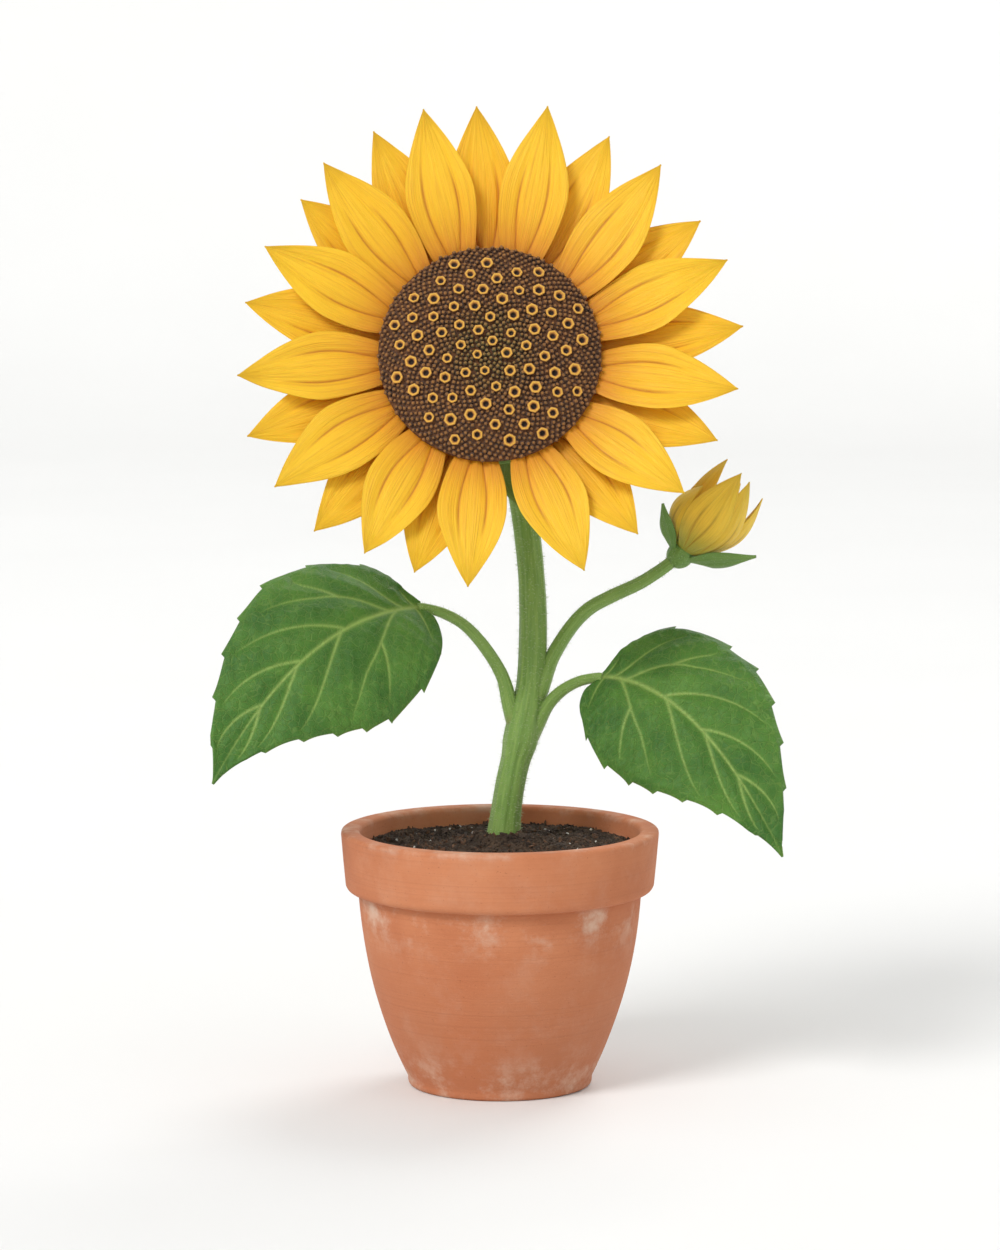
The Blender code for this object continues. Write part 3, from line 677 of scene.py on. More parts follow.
def two_cubics(share, points):
    """Two Bezier curves that meet at 0.4 of the way: seven numbers, of which the fourth is on both."""
    made = []
    for (a, b, c, d), t in ((points[:4], np.clip(share / 0.4, 0, 1)), (points[3:], np.clip((share - 0.4) / 0.6, 0, 1))):
        made.append(a * (1 - t) ** 3 + 3 * b * t * (1 - t) ** 2 + 3 * c * t * t * (1 - t) + d * t**3)
    return np.where(share < 0.4, *made)


def leaf_points(leaf, share, across, teeth=0.0):
    """The blade's middle surface at shares of its length and width, and how far each point is across and along."""
    length, upper, lower = leaf["length"], leaf["upper_width"], leaf["lower_width"]
    # The upper half leaves the stalk in a slant, and the lower half hangs back past it in a round lobe.
    edge_along, edge_across = (
        np.where(across * leaf["upper_side"] > 0, two_cubics(share, upper_half), two_cubics(share, lower_half))
        for upper_half, lower_half in (
            ((0.006, 0.080, 0.020, 0.360, 0.600, 0.780, 1.0), (0.006, -0.090, 0.0, 0.400, 0.680, 0.780, 1.0)),
            ((0.018, 0.065, upper, upper, upper, 0.155, 0.006), (0.026, 0.105, lower, lower, lower, 0.100, 0.006))))
    reach = np.abs(across)
    tooth = ((share * 9.0 + 0.30 * np.sign(across)) % 1.0) ** 2.6 - 0.28
    near_edge = np.clip((reach - 0.90) / 0.10, 0, 1) ** 1.5
    past_stalk = np.clip((share - 0.17) / 0.07, 0, 1)
    edge_across = edge_across + teeth * tooth * near_edge * np.clip(edge_across / 0.12, 0, 1) * past_stalk
    along = share**1.15 + (edge_along - share**1.15) * reach
    edge_across = edge_across * np.clip((1.0 - share) / 0.10, 0.0005, 1) ** 0.35
    sideways = edge_across * across * length
    spine, direction = quadratic(leaf["midrib"], np.maximum(along, 0.0))
    spine = spine + direction * (np.minimum(along, 0.0) * length)[..., None]
    faces = [np.array(f) for f in leaf["faces"]]
    face = faces[0] + (faces[1] - faces[0]) * np.maximum(along, 0.0)[..., None]
    face = unit(face - direction * np.sum(face * direction, axis=-1, keepdims=True))
    lift = LEAF_HOLLOW * np.abs(sideways) - LEAF_DROOP * sideways**2
    middle = spine + np.cross(face, direction) * sideways[..., None] + face * lift[..., None]
    return middle, sideways, along * length


def sheet(name, middle, look, front, back, flat, readings, front_side=1.0):
    """A closed thin skin round a grid of points. front and back are its thickness each way, flat its UV map."""
    rows, columns = middle.shape[:2]
    facing = unit(np.cross(np.gradient(middle, axis=0), np.gradient(middle, axis=1))) * front_side
    top = middle + facing * np.broadcast_to(front, (rows, columns))[..., None]
    bottom = middle - facing * np.broadcast_to(back, (rows, columns))[..., None]
    points = np.concatenate([top.reshape(-1, 3), bottom.reshape(-1, 3)])
    count = rows * columns
    index = np.arange(count).reshape(rows, columns)
    upper = np.stack([index[:-1, :-1], index[1:, :-1], index[1:, 1:], index[:-1, 1:]], axis=-1).reshape(-1, 4)
    rim = np.concatenate([index[:-1, 0], index[-1, :-1], index[:0:-1, -1], index[0, :0:-1]])
    ahead = np.roll(rim, -1)
    wall = np.stack([ahead, rim, rim + count, ahead + count], axis=-1)
    faces = np.concatenate([upper, upper[:, ::-1] + count, wall])
    if front_side < 0:
        faces = faces[:, ::-1]
    made = new_piece(name, points.tolist(), faces.tolist(), look)
    corners = np.zeros(len(made.data.loops), dtype=np.int32)
    made.data.loops.foreach_get("vertex_index", corners)
    uv_map = made.data.uv_layers.new(name="UVMap")
    uv_map.data.foreach_set("uv", np.tile(flat.reshape(-1, 2), (2, 1))[corners].astype(np.float32).ravel())
    for reading, values in {**readings, "under": None}.items():
        made.data.attributes.new(reading, "FLOAT", "POINT")
        both = np.zeros(count * 2, dtype=np.float32)
        both[count:] = 1.0
        if values is not None:
            both = np.tile(np.broadcast_to(values, (rows, columns)).ravel(), 2).astype(np.float32)
        made.data.attributes[reading].data.foreach_set("value", both)
    return made


def thinned(thickness, across, margin, least=0.25):
    """The thickness, which tapers to a share of itself over a margin at each edge."""
    return thickness * np.clip((1 - np.abs(across)) / margin, least, 1)


def line_distance(points, line):
    """Each point's distance from a line of points, and the share of the line's length at the nearest place."""
    nearest = np.full(points.shape[:-1], 1.0)
    where = np.zeros(points.shape[:-1])
    for i, (a, b) in enumerate(zip(line, line[1:])):
        run = b - a
        t = np.clip(((points - a) @ run) / (run @ run), 0, 1)
        distance = np.linalg.norm(points - a - t[..., None] * run, axis=-1)
        closer = distance < nearest
        nearest = np.where(closer, distance, nearest)
        where = np.where(closer, (i + t) / (len(line) - 1), where)
    return nearest, where


leaf_skin, place = new_finish("leaf skin", "UV")
vein, under = place.stored("vein"), place.stored("under")
bent = place.vector_maths("MULTIPLY_ADD", place.grain(90.0).beside("Color"), (0.006,) * 3, place)
net_lines, fine_lines = (
    place.node("ShaderNodeTexVoronoi", {"feature": "DISTANCE_TO_EDGE"}, {"Vector": bent, "Scale": scale}).between(*line)
    for scale, line in ((260.0, (0.085, 0.02)), (760.0, (0.11, 0.03))))
bloom = place.solid().grain(420.0, 4.0, 0.65)
finish(leaf_skin, LEAF_GREEN, (
    (place.solid().grain(38.0, 5.0, 0.6).between(0.30, 0.72), LEAF_LIGHT),
    (bloom.between(0.55, 0.80) * 0.45, LEAF_DEEP),
    (net_lines * 0.13 + fine_lines * 0.06, VEIN_PALE),
    # A lighter band beside the veins, against darker cell middles, is painted light and shade for the quilted relief.
    ((place.stored("near_vein") * 0.55 - vein * 0.55).between(0.0, 1.0), LEAF_LIGHT),
    (place.stored("rim") * 0.45, LEAF_RIM),
    (vein * 0.88, VEIN_PALE),
    (under * 0.52, LEAF_UNDER),
), 0.46 + 0.18 * bloom + 0.12 * under, 0.5 - net_lines * 0.40 - fine_lines * 0.20 + bloom * 0.35, 0.0006,
    Specular_IOR_Level=0.32, Subsurface_Weight=0.06, Subsurface_Scale=0.002)

# Rows of points lie closer together towards the leaf's two edges, where the teeth are.
crowding = math.pi / 2 * 0.92
share, across = np.meshgrid(
    np.linspace(0, 1, 281), np.sin(np.linspace(-1, 1, 161) * crowding) / math.sin(crowding), indexing="ij")
for name, leaf in LEAVES.items():
    middle, sideways, along = leaf_points(leaf, share, across, teeth=LEAF_TEETH)
    groove, strength, hollow = np.zeros_like(share), np.zeros_like(share), np.ones_like(share)
    for line in (MIDRIB, *SIDE_VEINS):
        route, _ = quadratic(line, np.linspace(0, 1, 40))
        track, _, _ = leaf_points(leaf, route[:, 0], route[:, 1] * leaf["upper_side"])
        distance, where = line_distance(middle, track)
        width = VEIN_WIDTH * ((1.7 - 1.2 * where) if line is MIDRIB else (1.0 - 0.62 * where))
        fade = np.clip((1 - where) / 0.25, 0, 1) ** 0.5
        vein_here = np.exp(-((distance / width) ** 2)) * fade * (1.0 if line is MIDRIB else 0.85)
        strength = np.maximum(strength, vein_here)
        groove = np.maximum(groove, np.exp(-((distance / (width * 1.5)) ** 2)) * fade)
        hollow = np.minimum(hollow, distance + (1 - fade) * 0.004)
    quilt = 1 - np.exp(-((hollow / 0.0050) ** 2))
    edge_fade = np.clip((1 - np.abs(across)) / 0.10, 0, 1) * np.clip(share / 0.05, 0, 1)
    edge_fade = edge_fade * np.clip((1 - share) / 0.06, 0, 1)
    rng = np.random.default_rng(leaf["seed"])
    phase = rng.uniform(0, 2 * math.pi, 4)
    waves = 0.0011 * np.sin(share * 15 + phase[0] + across) + 0.0007 * np.sin(share * 27 + phase[1])
    ripple = 0.00045 * np.sin(along * 700 + phase[2]) * np.sin(sideways * 620 + phase[3])
    lift = 0.0017 * quilt * edge_fade + waves * np.abs(across) ** 3 + ripple * quilt * edge_fade
    facing = unit(np.cross(np.gradient(middle, axis=0), np.gradient(middle, axis=1)))
    middle = middle + facing * lift[..., None]
    thick = thinned(LEAF_THICKNESS / 2, across, 0.02)
    readings = {"vein": strength, "near_vein": np.exp(-((hollow / 0.003) ** 2)),
                "rim": np.clip((np.abs(across) - 0.975) / 0.025, 0, 1)}
    made = sheet(name, middle, leaf_skin, thick - 0.00022 * groove * edge_fade, thick + 0.0008 * strength * edge_fade,
                 np.stack([sideways, along], axis=-1), readings)
    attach(made, "root")
    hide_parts(leaf["node"])

# ---------------------------------------------------------------- receptacle and bracts
# The green cup at the back of the flower head, grown from the end of the stem, and the ring of pointed green
# bracts on its edge. Both are ribbed and hairy, and close behind the petals.

DISC_RADIUS = 0.0548
CUP_OUTLINE = (
    (0.0, -0.0080), (0.0400, -0.0080), (0.0470, -0.0090), (0.0512, -0.0098), (0.0530, -0.0112), (0.0526, -0.0128),
    (0.0500, -0.0150), (0.0455, -0.0178), (0.0400, -0.0203), (0.0335, -0.0226), (0.0270, -0.0245), (0.0205, -0.0261),
    (0.0150, -0.0278), (0.0108, -0.0296), (0.0082, -0.0318), (0.0070, -0.0340), (0.0066, -0.0360), (0.0, -0.0362),
)
BRACT_COUNT = 12
BRACT_ROOT = 0.0540
BRACT_LENGTH = 0.0300
BRACT_WIDTH = 0.0235
BRACT_DEPTH = 0.0125
BRACT_THICKNESS = 0.0008
BRACT_GREEN = (0.105, 0.230, 0.032)
BRACT_PALE = (0.215, 0.350, 0.075)
BRACT_PAINTED_SHADE = (0.060, 0.150, 0.025)


def ribbed_cup(point):
    """Shallow ribs that run from the stem out to the bracts, with a soft unevenness between them."""
    radius = Vector((point.x, point.y)).length
    if radius < 0.008 or point.z > -0.0085:
        return point
    angle = math.atan2(point.y, point.x)
    ribs = 0.00075 * math.cos(36 * angle + 0.8 * math.sin(3 * angle)) * min(1, (radius - 0.008) / 0.02)
    return point + Vector((0, 0, -ribs - 0.0004 * noise.noise(point * 130)))


def bract_finish(name, coordinates):
    """Green skin with lengthwise pale veins, read from coordinates that run across and along the piece."""
    look, place = new_finish(name, coordinates)
    solid = place.solid()
    veins = place.stretched(26.0, 1.2, 1.0).grain(1.0, 3.0, 0.6) if coordinates == "UV" else solid.grain(900.0, 3.0)
    blotches = solid.grain(45.0, 3.0, 0.5)
    fuzz = solid.grain(2100.0, 2.0, 0.6)
    finish(look, BRACT_GREEN, (
        (blotches.between(0.25, 0.80) * 0.6, BRACT_PALE),
        (veins.between(0.46, 0.70) * 0.55, BRACT_PALE),
        # Darker where the vein noise is low, in the grooves of the relief: painted shade.
        (veins.between(0.48, 0.30) * 0.40, BRACT_PAINTED_SHADE),
        (fuzz.between(0.62, 0.72) * 0.40, HAIR_WHITE),
    ), 0.52 + 0.18 * blotches, veins * 0.8 + fuzz * 0.3, 0.0005, Sheen_Weight=0.12)
    return look


cup_skin = bract_finish("receptacle skin", "Object")
cup_line = [(p.x, p.z) for p in smooth_route([(r, 0, z) for r, z in CUP_OUTLINE[1:-1]], 4)]
green_cup = turned("green_cup", [CUP_OUTLINE[0], *cup_line, CUP_OUTLINE[-1]], cup_skin, steps=192, wobble=ribbed_cup)
green_cup.data.transform(head_place)
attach(green_cup, "root")
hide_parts("flower_receptacle")
mark(green_cup, lambda v: (head_place.inverted() @ v.co).z < -0.0125)
cup_hairs = hairs("cup_hairs", green_cup, HAIRS_PER_SQUARE_METRE / 2, 0.0019, 31)
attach(cup_hairs, "root")


def moved(place, *parts):
    """Points given by their x, y and z in a frame of their own, put where that frame stands in the plant."""
    turn = np.array(place)
    return np.stack(parts, axis=-1) @ turn[:3, :3].T + turn[:3, 3]


def across_and_along(rows, columns):
    """A grid of shares along a blade, 0 to 1, and across it, -1 to 1, and its flat UV map."""
    along, across = np.meshgrid(np.linspace(0, 1, rows), np.linspace(-1, 1, columns), indexing="ij")
    return along, across, np.stack([across / 2 + 0.5, along], axis=-1)


def swing(out, side, bearing):
    """Head-frame x and y of a point that is out from the middle on a bearing, and to one side of that line."""
    return out * np.sin(bearing) + side * np.cos(bearing), out * np.cos(bearing) - side * np.sin(bearing)


bract_skin = bract_finish("bract skin", "UV")
along, across, flat = across_and_along(45, 29)
for i in range(BRACT_COUNT):
    rng = np.random.default_rng(100 + i)
    bearing = math.radians((i + 0.5) * 360 / BRACT_COUNT)
    widening = 0.75 + 0.25 * np.sin(math.pi * along / 0.7)
    narrowing = 1 - (np.clip(along - 0.35, 0, 1) / 0.65) ** 1.15
    width = np.maximum(np.where(along < 0.35, widening, narrowing), 0.03) * BRACT_WIDTH / 2
    side = across * width
    lift = -BRACT_DEPTH - 0.0035 * np.sin(0.75 * math.pi * along) + 0.060 * side
    lift = lift - 0.0010 * along**2 * rng.uniform(0, 1) + 0.0009 * across**2 * (1 - along)
    ribs = np.cos(across * math.pi * 3.5) * 0.00030 * np.sin(math.pi * np.clip(along, 0.02, 0.98))
    x, y = swing(BRACT_ROOT - 0.003 + (BRACT_LENGTH + 0.003) * along, side, bearing)
    thick = thinned(BRACT_THICKNESS / 2, across, 0.12)
    middle = moved(head_place, x, y, lift - ribs)
    made = sheet(f"green_bract_{i + 1:02d}", middle, bract_skin, thick, thick, flat, {}, -1.0)
    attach(made, "root")
    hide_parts(f"head_bract_{i + 1:02d}")

# ---------------------------------------------------------------- ray petals
# Twenty-five golden petals in two rings, each grown from under the disc's edge. Each is pointed, cupped along its
# length, folded in two soft creases from its root, and finely lined.

PETAL_ROOT = 0.0440
PETAL_WIDTH = 0.0340
PETAL_TWIST = 0.075
PETAL_CUP = 0.0018
PETAL_THICKNESS = 0.00056
# Bearing clockwise from the top, reach from the head's middle, and sideways lean, in degrees, metres and degrees.
PETAL_RINGS = {
    "ray_front": {"node": "front_petal", "depth": 0.0029, "rise": 0.0150, "bow": 0.0034, "petals": (
        (17, 0.127, -4), (48, 0.126, -6), (72, 0.125, -3), (99, 0.123, 1), (127, 0.120, 1), (158, 0.122, 0),
        (187, 0.121, -2), (215, 0.121, -5), (240, 0.126, -4), (266, 0.124, -3), (293, 0.122, 2), (316, 0.125, 3),
        (341, 0.127, 4))},
    "ray_back": {"node": "back_petal", "depth": 0.0070, "rise": 0.0115, "bow": 0.0022, "petals": (
        (29, 0.126, -1), (58, 0.124, -1), (84, 0.125, 0), (112, 0.120, 0), (142, 0.117, 0), (199, 0.118, -1),
        (225, 0.125, -2), (251, 0.126, -1), (282, 0.123, 0), (309, 0.122, 1), (332, 0.127, 1), (358, 0.127, -1))},
}
PETAL_GOLD = (0.880, 0.410, 0.004)
PETAL_LIGHT = (0.960, 0.570, 0.012)
PETAL_ROOT_ORANGE = (0.600, 0.150, 0.004)
PETAL_LINE_AND_CREASE_SHADE = (0.500, 0.150, 0.003)


def petal_finish(name, root, gold, light, line):
    """Petal skin: deep at its root, paler to its tip, with fine lines along it and painted shade darkening its creases.
    """
    look, place = new_finish(name, "UV")
    along = place.node("ShaderNodeSeparateXYZ", sockets={0: place}, out="Y")
    tone = place.stored("tone")
    own = place.vector_maths("ADD", place, place.xyz(tone * 9.0, tone * 4.0, tone))
    lines = own.stretched(44.0, 1.1, 1.0).grain(1.0, 3.0, 0.55)
    fine = own.stretched(150.0, 3.0, 1.0).grain(1.0, 2.0, 0.6)
    soft = place.solid().grain(60.0, 4.0, 0.6)
    cells = place.solid().grain(2300.0, 2.0, 0.6)
    finish(look, gold, (
        (along.between(0.10, 0.75), light),
        (tone * 0.55 * soft, gold),
        (along.between(0.42, 0.02) * (0.50 + 0.50 * lines), root),
        (lines.between(0.50, 0.72) * 0.34, line),
        (fine.between(0.50, 0.70) * 0.22, line),
        (fine.between(0.46, 0.30) * 0.30, light),
        # The creases take the line colour: painted shade in the folds.
        (place.stored("crease") * 0.90, line),
    ), 0.44 + 0.20 * soft, lines * 0.8 + fine * 0.5 + cells * 0.10, 0.00055,
        Subsurface_Weight=0.12, Subsurface_Scale=0.003)
    return look


def creases(across, along, places, width, reach):
    """1 in the fold lines, which start together at the root, bow apart and fade at their reach; 0 elsewhere."""
    found = np.zeros_like(across)
    for place, end in zip(places, reach):
        line = place * (0.34 + 0.66 * np.sin(math.pi / 2 * np.clip(along / 0.45, 0, 1)))
        fade = np.clip((end - along) / 0.18, 0, 1) * np.clip(along / 0.04, 0, 1)
        found = np.maximum(found, np.exp(-(((across - line) / width) ** 2)) * fade)
    return found


def petal_widths(along, widest, root):
    """A petal's width as a share of its most, from its root to where it is widest and on to its point."""
    return np.where(along < widest, root + (1 - root) * np.sin(math.pi / 2 * along / widest),
                    np.maximum(1 - (np.clip(along - widest, 0, 1) / (1 - widest)) ** 1.6, 0.02))


ray_skin = petal_finish("ray petal skin", PETAL_ROOT_ORANGE, PETAL_GOLD, PETAL_LIGHT, PETAL_LINE_AND_CREASE_SHADE)
along, across, flat = across_and_along(81, 55)
outline = petal_widths(along, 0.48, 0.40)
arch = np.maximum(np.sin(math.pi * along), 0.0) ** 1.5
for ring, layer in PETAL_RINGS.items():
    for i, (bearing, reach, lean) in enumerate(layer["petals"]):
        rng = np.random.default_rng(200 + 40 * len(ring) + i)
        edge_wave = 0.012 * np.sin(along * rng.uniform(9, 15) + rng.uniform(0, 6) + across)
        side = across * outline * (1 + edge_wave * np.abs(across)) * PETAL_WIDTH / 2
        places = rng.uniform(0.38, 0.48, 2) * (-1, 1)
        folds = creases(across, along, places, 0.038, rng.uniform(0.64, 0.76, 2))
        soft_folds = creases(across, along, places, 0.17, (0.85, 0.85))
        lift = layer["rise"] * along**1.5 + layer["bow"] * arch - layer["depth"]
        lift = lift + PETAL_CUP * across**2 * arch + PETAL_TWIST * side
        lift = lift - 0.00060 * folds - 0.00085 * soft_folds
        lift = lift + 0.0005 * np.sin(along * rng.uniform(7, 12) + rng.uniform(0, 6)) * np.abs(across) ** 2 * arch
        lift = lift + np.clip(along - 0.86, 0, 1) * rng.uniform(-0.012, 0.018)
        lift = lift + 0.00010 * np.cos(across * 21 + rng.uniform(0, 6)) * arch
        x, y = swing(PETAL_ROOT + (reach - PETAL_ROOT) * along, side, np.radians(bearing + lean * along))
        thick = thinned(PETAL_THICKNESS / 2, across, 0.10, 0.22)
        # Each petal's tone differs at random; the back ring's is raised by 0.4, painted shade from the front ring over
        # it.
        readings = {"crease": folds, "tone": rng.uniform(0, 1) * 0.6 + 0.4 * (ring == "ray_back")}
        made = sheet(f"{ring}_{i + 1:02d}", moved(head_place, x, y, lift), ray_skin, thick, thick, flat, readings, -1.0)
        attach(made, "root")
        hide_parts(f"{layer['node']}_{i + 1:02d}")

# ---------------------------------------------------------------- seed disc
# The flower's brown middle: over a thousand small florets grown together in the spirals of every sunflower. Most
# are shut and stand as small knobs, darkened at their feet by painted shade; seventy-six are open, as little amber
# cups with painted shade down in their middle.

DISC_OUTLINE = (
    (0.0, 0.0078), (0.012, 0.0082), (0.024, 0.0082), (0.036, 0.0070), (0.046, 0.0046), (0.0518, 0.0022),
    (0.0545, 0.0008), (0.0540, -0.0006), (0.0480, -0.0014), (0.0, -0.0014),
)
GOLDEN_ANGLE = math.pi * (3 - math.sqrt(5))
SHUT_COUNT = 1640
OPEN_COUNT = 76
OPEN_SPACING = 0.00556
SHUT_SPACING = 0.00134
DISC_BROWN = (0.050, 0.019, 0.008)
DISC_WARM = (0.160, 0.060, 0.016)
DISC_HEART = (0.130, 0.110, 0.024)
FLORET_PAINTED_SHADE = (0.018, 0.007, 0.004)
AMBER = (0.560, 0.250, 0.040)
POLLEN = (0.860, 0.520, 0.060)


disc_skin, place = new_finish("disc skin")
grit = place.grain(700.0, 3.0, 0.6)
finish(disc_skin, DISC_BROWN, ((grit.between(0.3, 0.7), DISC_WARM),), 0.72 + 0.2 * grit, grit, 0.0006)
disc_line = [(p.x, p.z) for p in smooth_route([(r, 0, z) for r, z in DISC_OUTLINE[:-1]], 4)]
disc_bed = turned("disc_bed", [(0.0, disc_line[0][1]), *disc_line[1:], DISC_OUTLINE[-1]], disc_skin, steps=160)
disc_bed.data.transform(head_place)
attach(disc_bed, "root")
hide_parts("flower_disc")


def spiral_tree():
    """Copies a shape over a domed disc on the golden-angle spiral, one on each numbered place that is kept."""
    tree, given = new_tree("golden spiral", {
        "Shape": "Object", "Count": "Int", "Spacing": "Float", "Dome": "Float", "Rim": "Float", "Slope": "Float",
        "Uneven": "Float", "Heart": "Float", "Clear Spacing": "Float", "Clear Count": "Int",
        "Clear": "Float", "Seed": "Int", "Look": "Material"})

    def spiral(count, spacing, dome=None):
        """Points on the spiral, raised on the disc's dome or flat."""
        dots = given.node("GeometryNodePoints", sockets={"Count": given.beside(count)})
        number = given.node("GeometryNodeInputIndex") + 0.5
        out = given.beside(spacing) * number.maths("SQRT", number)
        angle = number * GOLDEN_ANGLE
        share = out.maths("MINIMUM", out * (1 / DISC_RADIUS), 1.0)
        height = given.beside(dome) * (1 - share**3.2) + given.beside("Rim") if dome else 0.0
        spots = given.xyz(out * angle.maths("COSINE", angle), out * angle.maths("SINE", angle), height)
        return given.node("GeometryNodeSetPosition", sockets={"Geometry": dots, "Position": spots})

    spot = given.node("GeometryNodeInputPosition")
    flat = spot.vector_maths("MULTIPLY", spot, (1.0, 1.0, 0.0))
    nearest = given.node("GeometryNodeProximity", {"target_element": "POINTS"}, {
        "Geometry": spiral("Clear Count", "Clear Spacing"), "Sample Position": flat}, out="Distance")
    kept = given.node("GeometryNodeDeleteGeometry", {"domain": "POINT"}, {
        "Geometry": spiral("Count", "Spacing", "Dome"),
        "Selection": nearest.maths("LESS_THAN", nearest, given.beside("Clear"))})
    reach = flat.vector_maths("LENGTH", flat, out="Value")
    steep = (reach * (1 / DISC_RADIUS)) ** 2.2 * given.beside("Slope")
    tilt = flat.vector_maths("MULTIPLY", flat.vector_maths("NORMALIZE", flat), steep)
    upright = given.node("FunctionNodeAlignRotationToVector", {"axis": "Z"}, {
        "Vector": tilt.vector_maths("ADD", tilt, (0.0, 0.0, 1.0))})
    uneven = given.beside("Uneven")
    size = chance(given, "FLOAT", 1 - uneven, 1 + uneven) * (1 - given.beside("Heart") * reach.between(0.030, 0.004))
    return finish_tree(tree, given, kept, upright, uneven, size)


def floret(rings, lobes):
    """Builds a small floret from (radius, height, lobe depth, part) rings; the last closes in one middle point."""

    def build(shape):
        part = shape.verts.layers.float.new("part")
        loops = []
        for radius, height, depth, reading in rings[:-1]:
            loop = []
            for i in range(lobes * 2):
                angle = math.pi * i / lobes
                bulge = depth if i % 2 else -depth
                vertex = shape.verts.new(((radius + bulge) * math.cos(angle), (radius + bulge) * math.sin(angle),
                                          height + bulge * 0.5))
                vertex[part] = reading
                loop.append(vertex)
            loops.append(loop)
        middle = shape.verts.new((0, 0, rings[-1][1]))
        middle[part] = rings[-1][3]
        base = shape.verts.new((0, 0, rings[0][1]))
        for i in range(lobes * 2):
            j = (i + 1) % (lobes * 2)
            shape.faces.new((base, loops[0][j], loops[0][i]))
            for below, above in zip(loops, loops[1:]):
                shape.faces.new((below[i], below[j], above[j], above[i]))
            shape.faces.new((loops[-1][i], loops[-1][j], middle))
        for face in shape.faces:
            face.smooth = True

    return build


floret_skin, place = new_finish("floret skin")
part = place.stored("part")
mealy = place.grain(1500.0, 3.0, 0.6)
out = place.vector_maths("DISTANCE", place, tuple(HEAD_CENTRE), out="Value")
finish(floret_skin, DISC_BROWN, (
    (place.grain(240.0, 2.0, 0.5).between(0.30, 0.70), DISC_WARM),
    (out.between(0.030, 0.010) * 0.75, DISC_HEART),
    (part.between(0.10, 0.60), AMBER),
    (part.between(0.70, 1.00) * (0.55 + 0.45 * mealy), POLLEN),
    # Negative parts get painted shade: at the shut florets' feet, where they meet the disc and each other, and down in
    # the open cups.
    (part.between(-0.10, -0.80), FLORET_PAINTED_SHADE),
), 0.60 + 0.25 * mealy, mealy, 0.0003, Sheen_Weight=0.15)

golden_spiral = spiral_tree()
shut_floret = template("shut floret", floret((
    (0.00085, -0.0012, 0.0, -0.5), (0.00112, 0.0006, 0.00004, -0.1), (0.00095, 0.0016, 0.00010, 0.12),
    (0.00045, 0.0022, 0.00010, 0.34), (0, 0.0021, 0, 0.20)), 4))
open_floret = template("open floret", floret((
    (0.0015, -0.0012, 0.0, 0.0), (0.0023, 0.0012, 0.00005, 0.30), (0.00295, 0.0026, 0.00016, 0.66),
    (0.00225, 0.0030, 0.00012, 1.00), (0.00150, 0.0021, 0.00005, 0.40), (0.0011, 0.0008, 0.0, -0.7),
    (0, 0.0006, 0, -1.0)), 6))
for name, shape, count, spacing, uneven, heart, clear, seed in (
    ("shut_florets", shut_floret, SHUT_COUNT, SHUT_SPACING, 0.16, 0.12, 0.0031, 5),
    ("open_florets", open_floret, OPEN_COUNT, OPEN_SPACING, 0.10, 0.10, -1.0, 9),
):
    florets = grow(name, bpy.data.meshes.new("blank"), golden_spiral, {
        "Shape": shape, "Count": count, "Spacing": spacing, "Dome": 0.0082, "Rim": 0.0004, "Slope": 0.48,
        "Uneven": uneven, "Heart": heart, "Clear Spacing": OPEN_SPACING, "Clear Count": OPEN_COUNT, "Clear": clear,
        "Seed": seed, "Look": floret_skin})
    florets.data.transform(head_place)
    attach(florets, "root")
for shape in (hair, shut_floret, open_floret):
    bpy.data.objects.remove(shape)

# ---------------------------------------------------------------- bud
# A half-open bud on the side stem: a small round green base, three narrow spreading sepals, and yellow petals
# still wrapped round each other, green where they leave the base.

BUD_BASE = Vector((0.0903, 0.0120, 0.2668))
BUD_AXIS = Vector((0.588, -0.100, 0.804)).normalized()
BUD_KNOB_RADIUS = 0.0069
# How far the base rises inside the petals, which grow from its sides.
BUD_KNOB_CROWN = 0.0104
# Turn about the bud, tip's height, tip's distance out, swell, and how far the left and right edges stand off.
BUD_RINGS = {
    "bud_wrap_outer": {
        "node": "bud_outer_petal", "foot_out": 0.0064, "foot_up": 0.0046, "half_width": 0.0108, "petals": (
            (-7, 0.0530, 0.0070, 0.0106, 0.0012, 0.0014), (44, 0.0515, 0.0074, 0.0100, -0.0022, 0.0004),
            (109, 0.0470, 0.0174, 0.0127, -0.0070, 0), (225, 0.0520, 0.0129, 0.0090, 0, -0.0018),
            (282, 0.0355, 0.0123, 0.0097, 0.0010, -0.0020))},
    "bud_wrap_inner": {
        "node": "bud_inner_petal", "foot_out": 0.0034, "foot_up": 0.0080, "half_width": 0.0084, "petals": (
            (-50, 0.0460, 0.0015, 0.0060, 0, 0), (70, 0.0475, 0.0025, 0.0060, 0, 0),
            (190, 0.0450, 0.0015, 0.0060, 0, 0))},
}
BUD_SEPAL_THICKNESS = 0.0007
# Turn, spread from the bud's line, roll, length and half width.
BUD_SEPALS = ((68, 53, -39, 0.0335, 0.0060), (-68, 54, 34, 0.0240, 0.0050), (170, 55, 0, 0.0250, 0.0048))

bud_away = (Vector((0, 1, 0)) - BUD_AXIS * BUD_AXIS.y).normalized()
bud_turn = Matrix((bud_away.cross(BUD_AXIS), bud_away, BUD_AXIS)).transposed()
bud_place = Matrix.Translation(BUD_BASE) @ bud_turn.to_4x4()


def ribbed_knob(point):
    """Ten soft ribs and a little unevenness on the bud's green base."""
    angle = math.atan2(point.y, point.x)
    return point * (1 + 0.022 * math.cos(10 * angle) + 0.03 * noise.noise(point * 260))


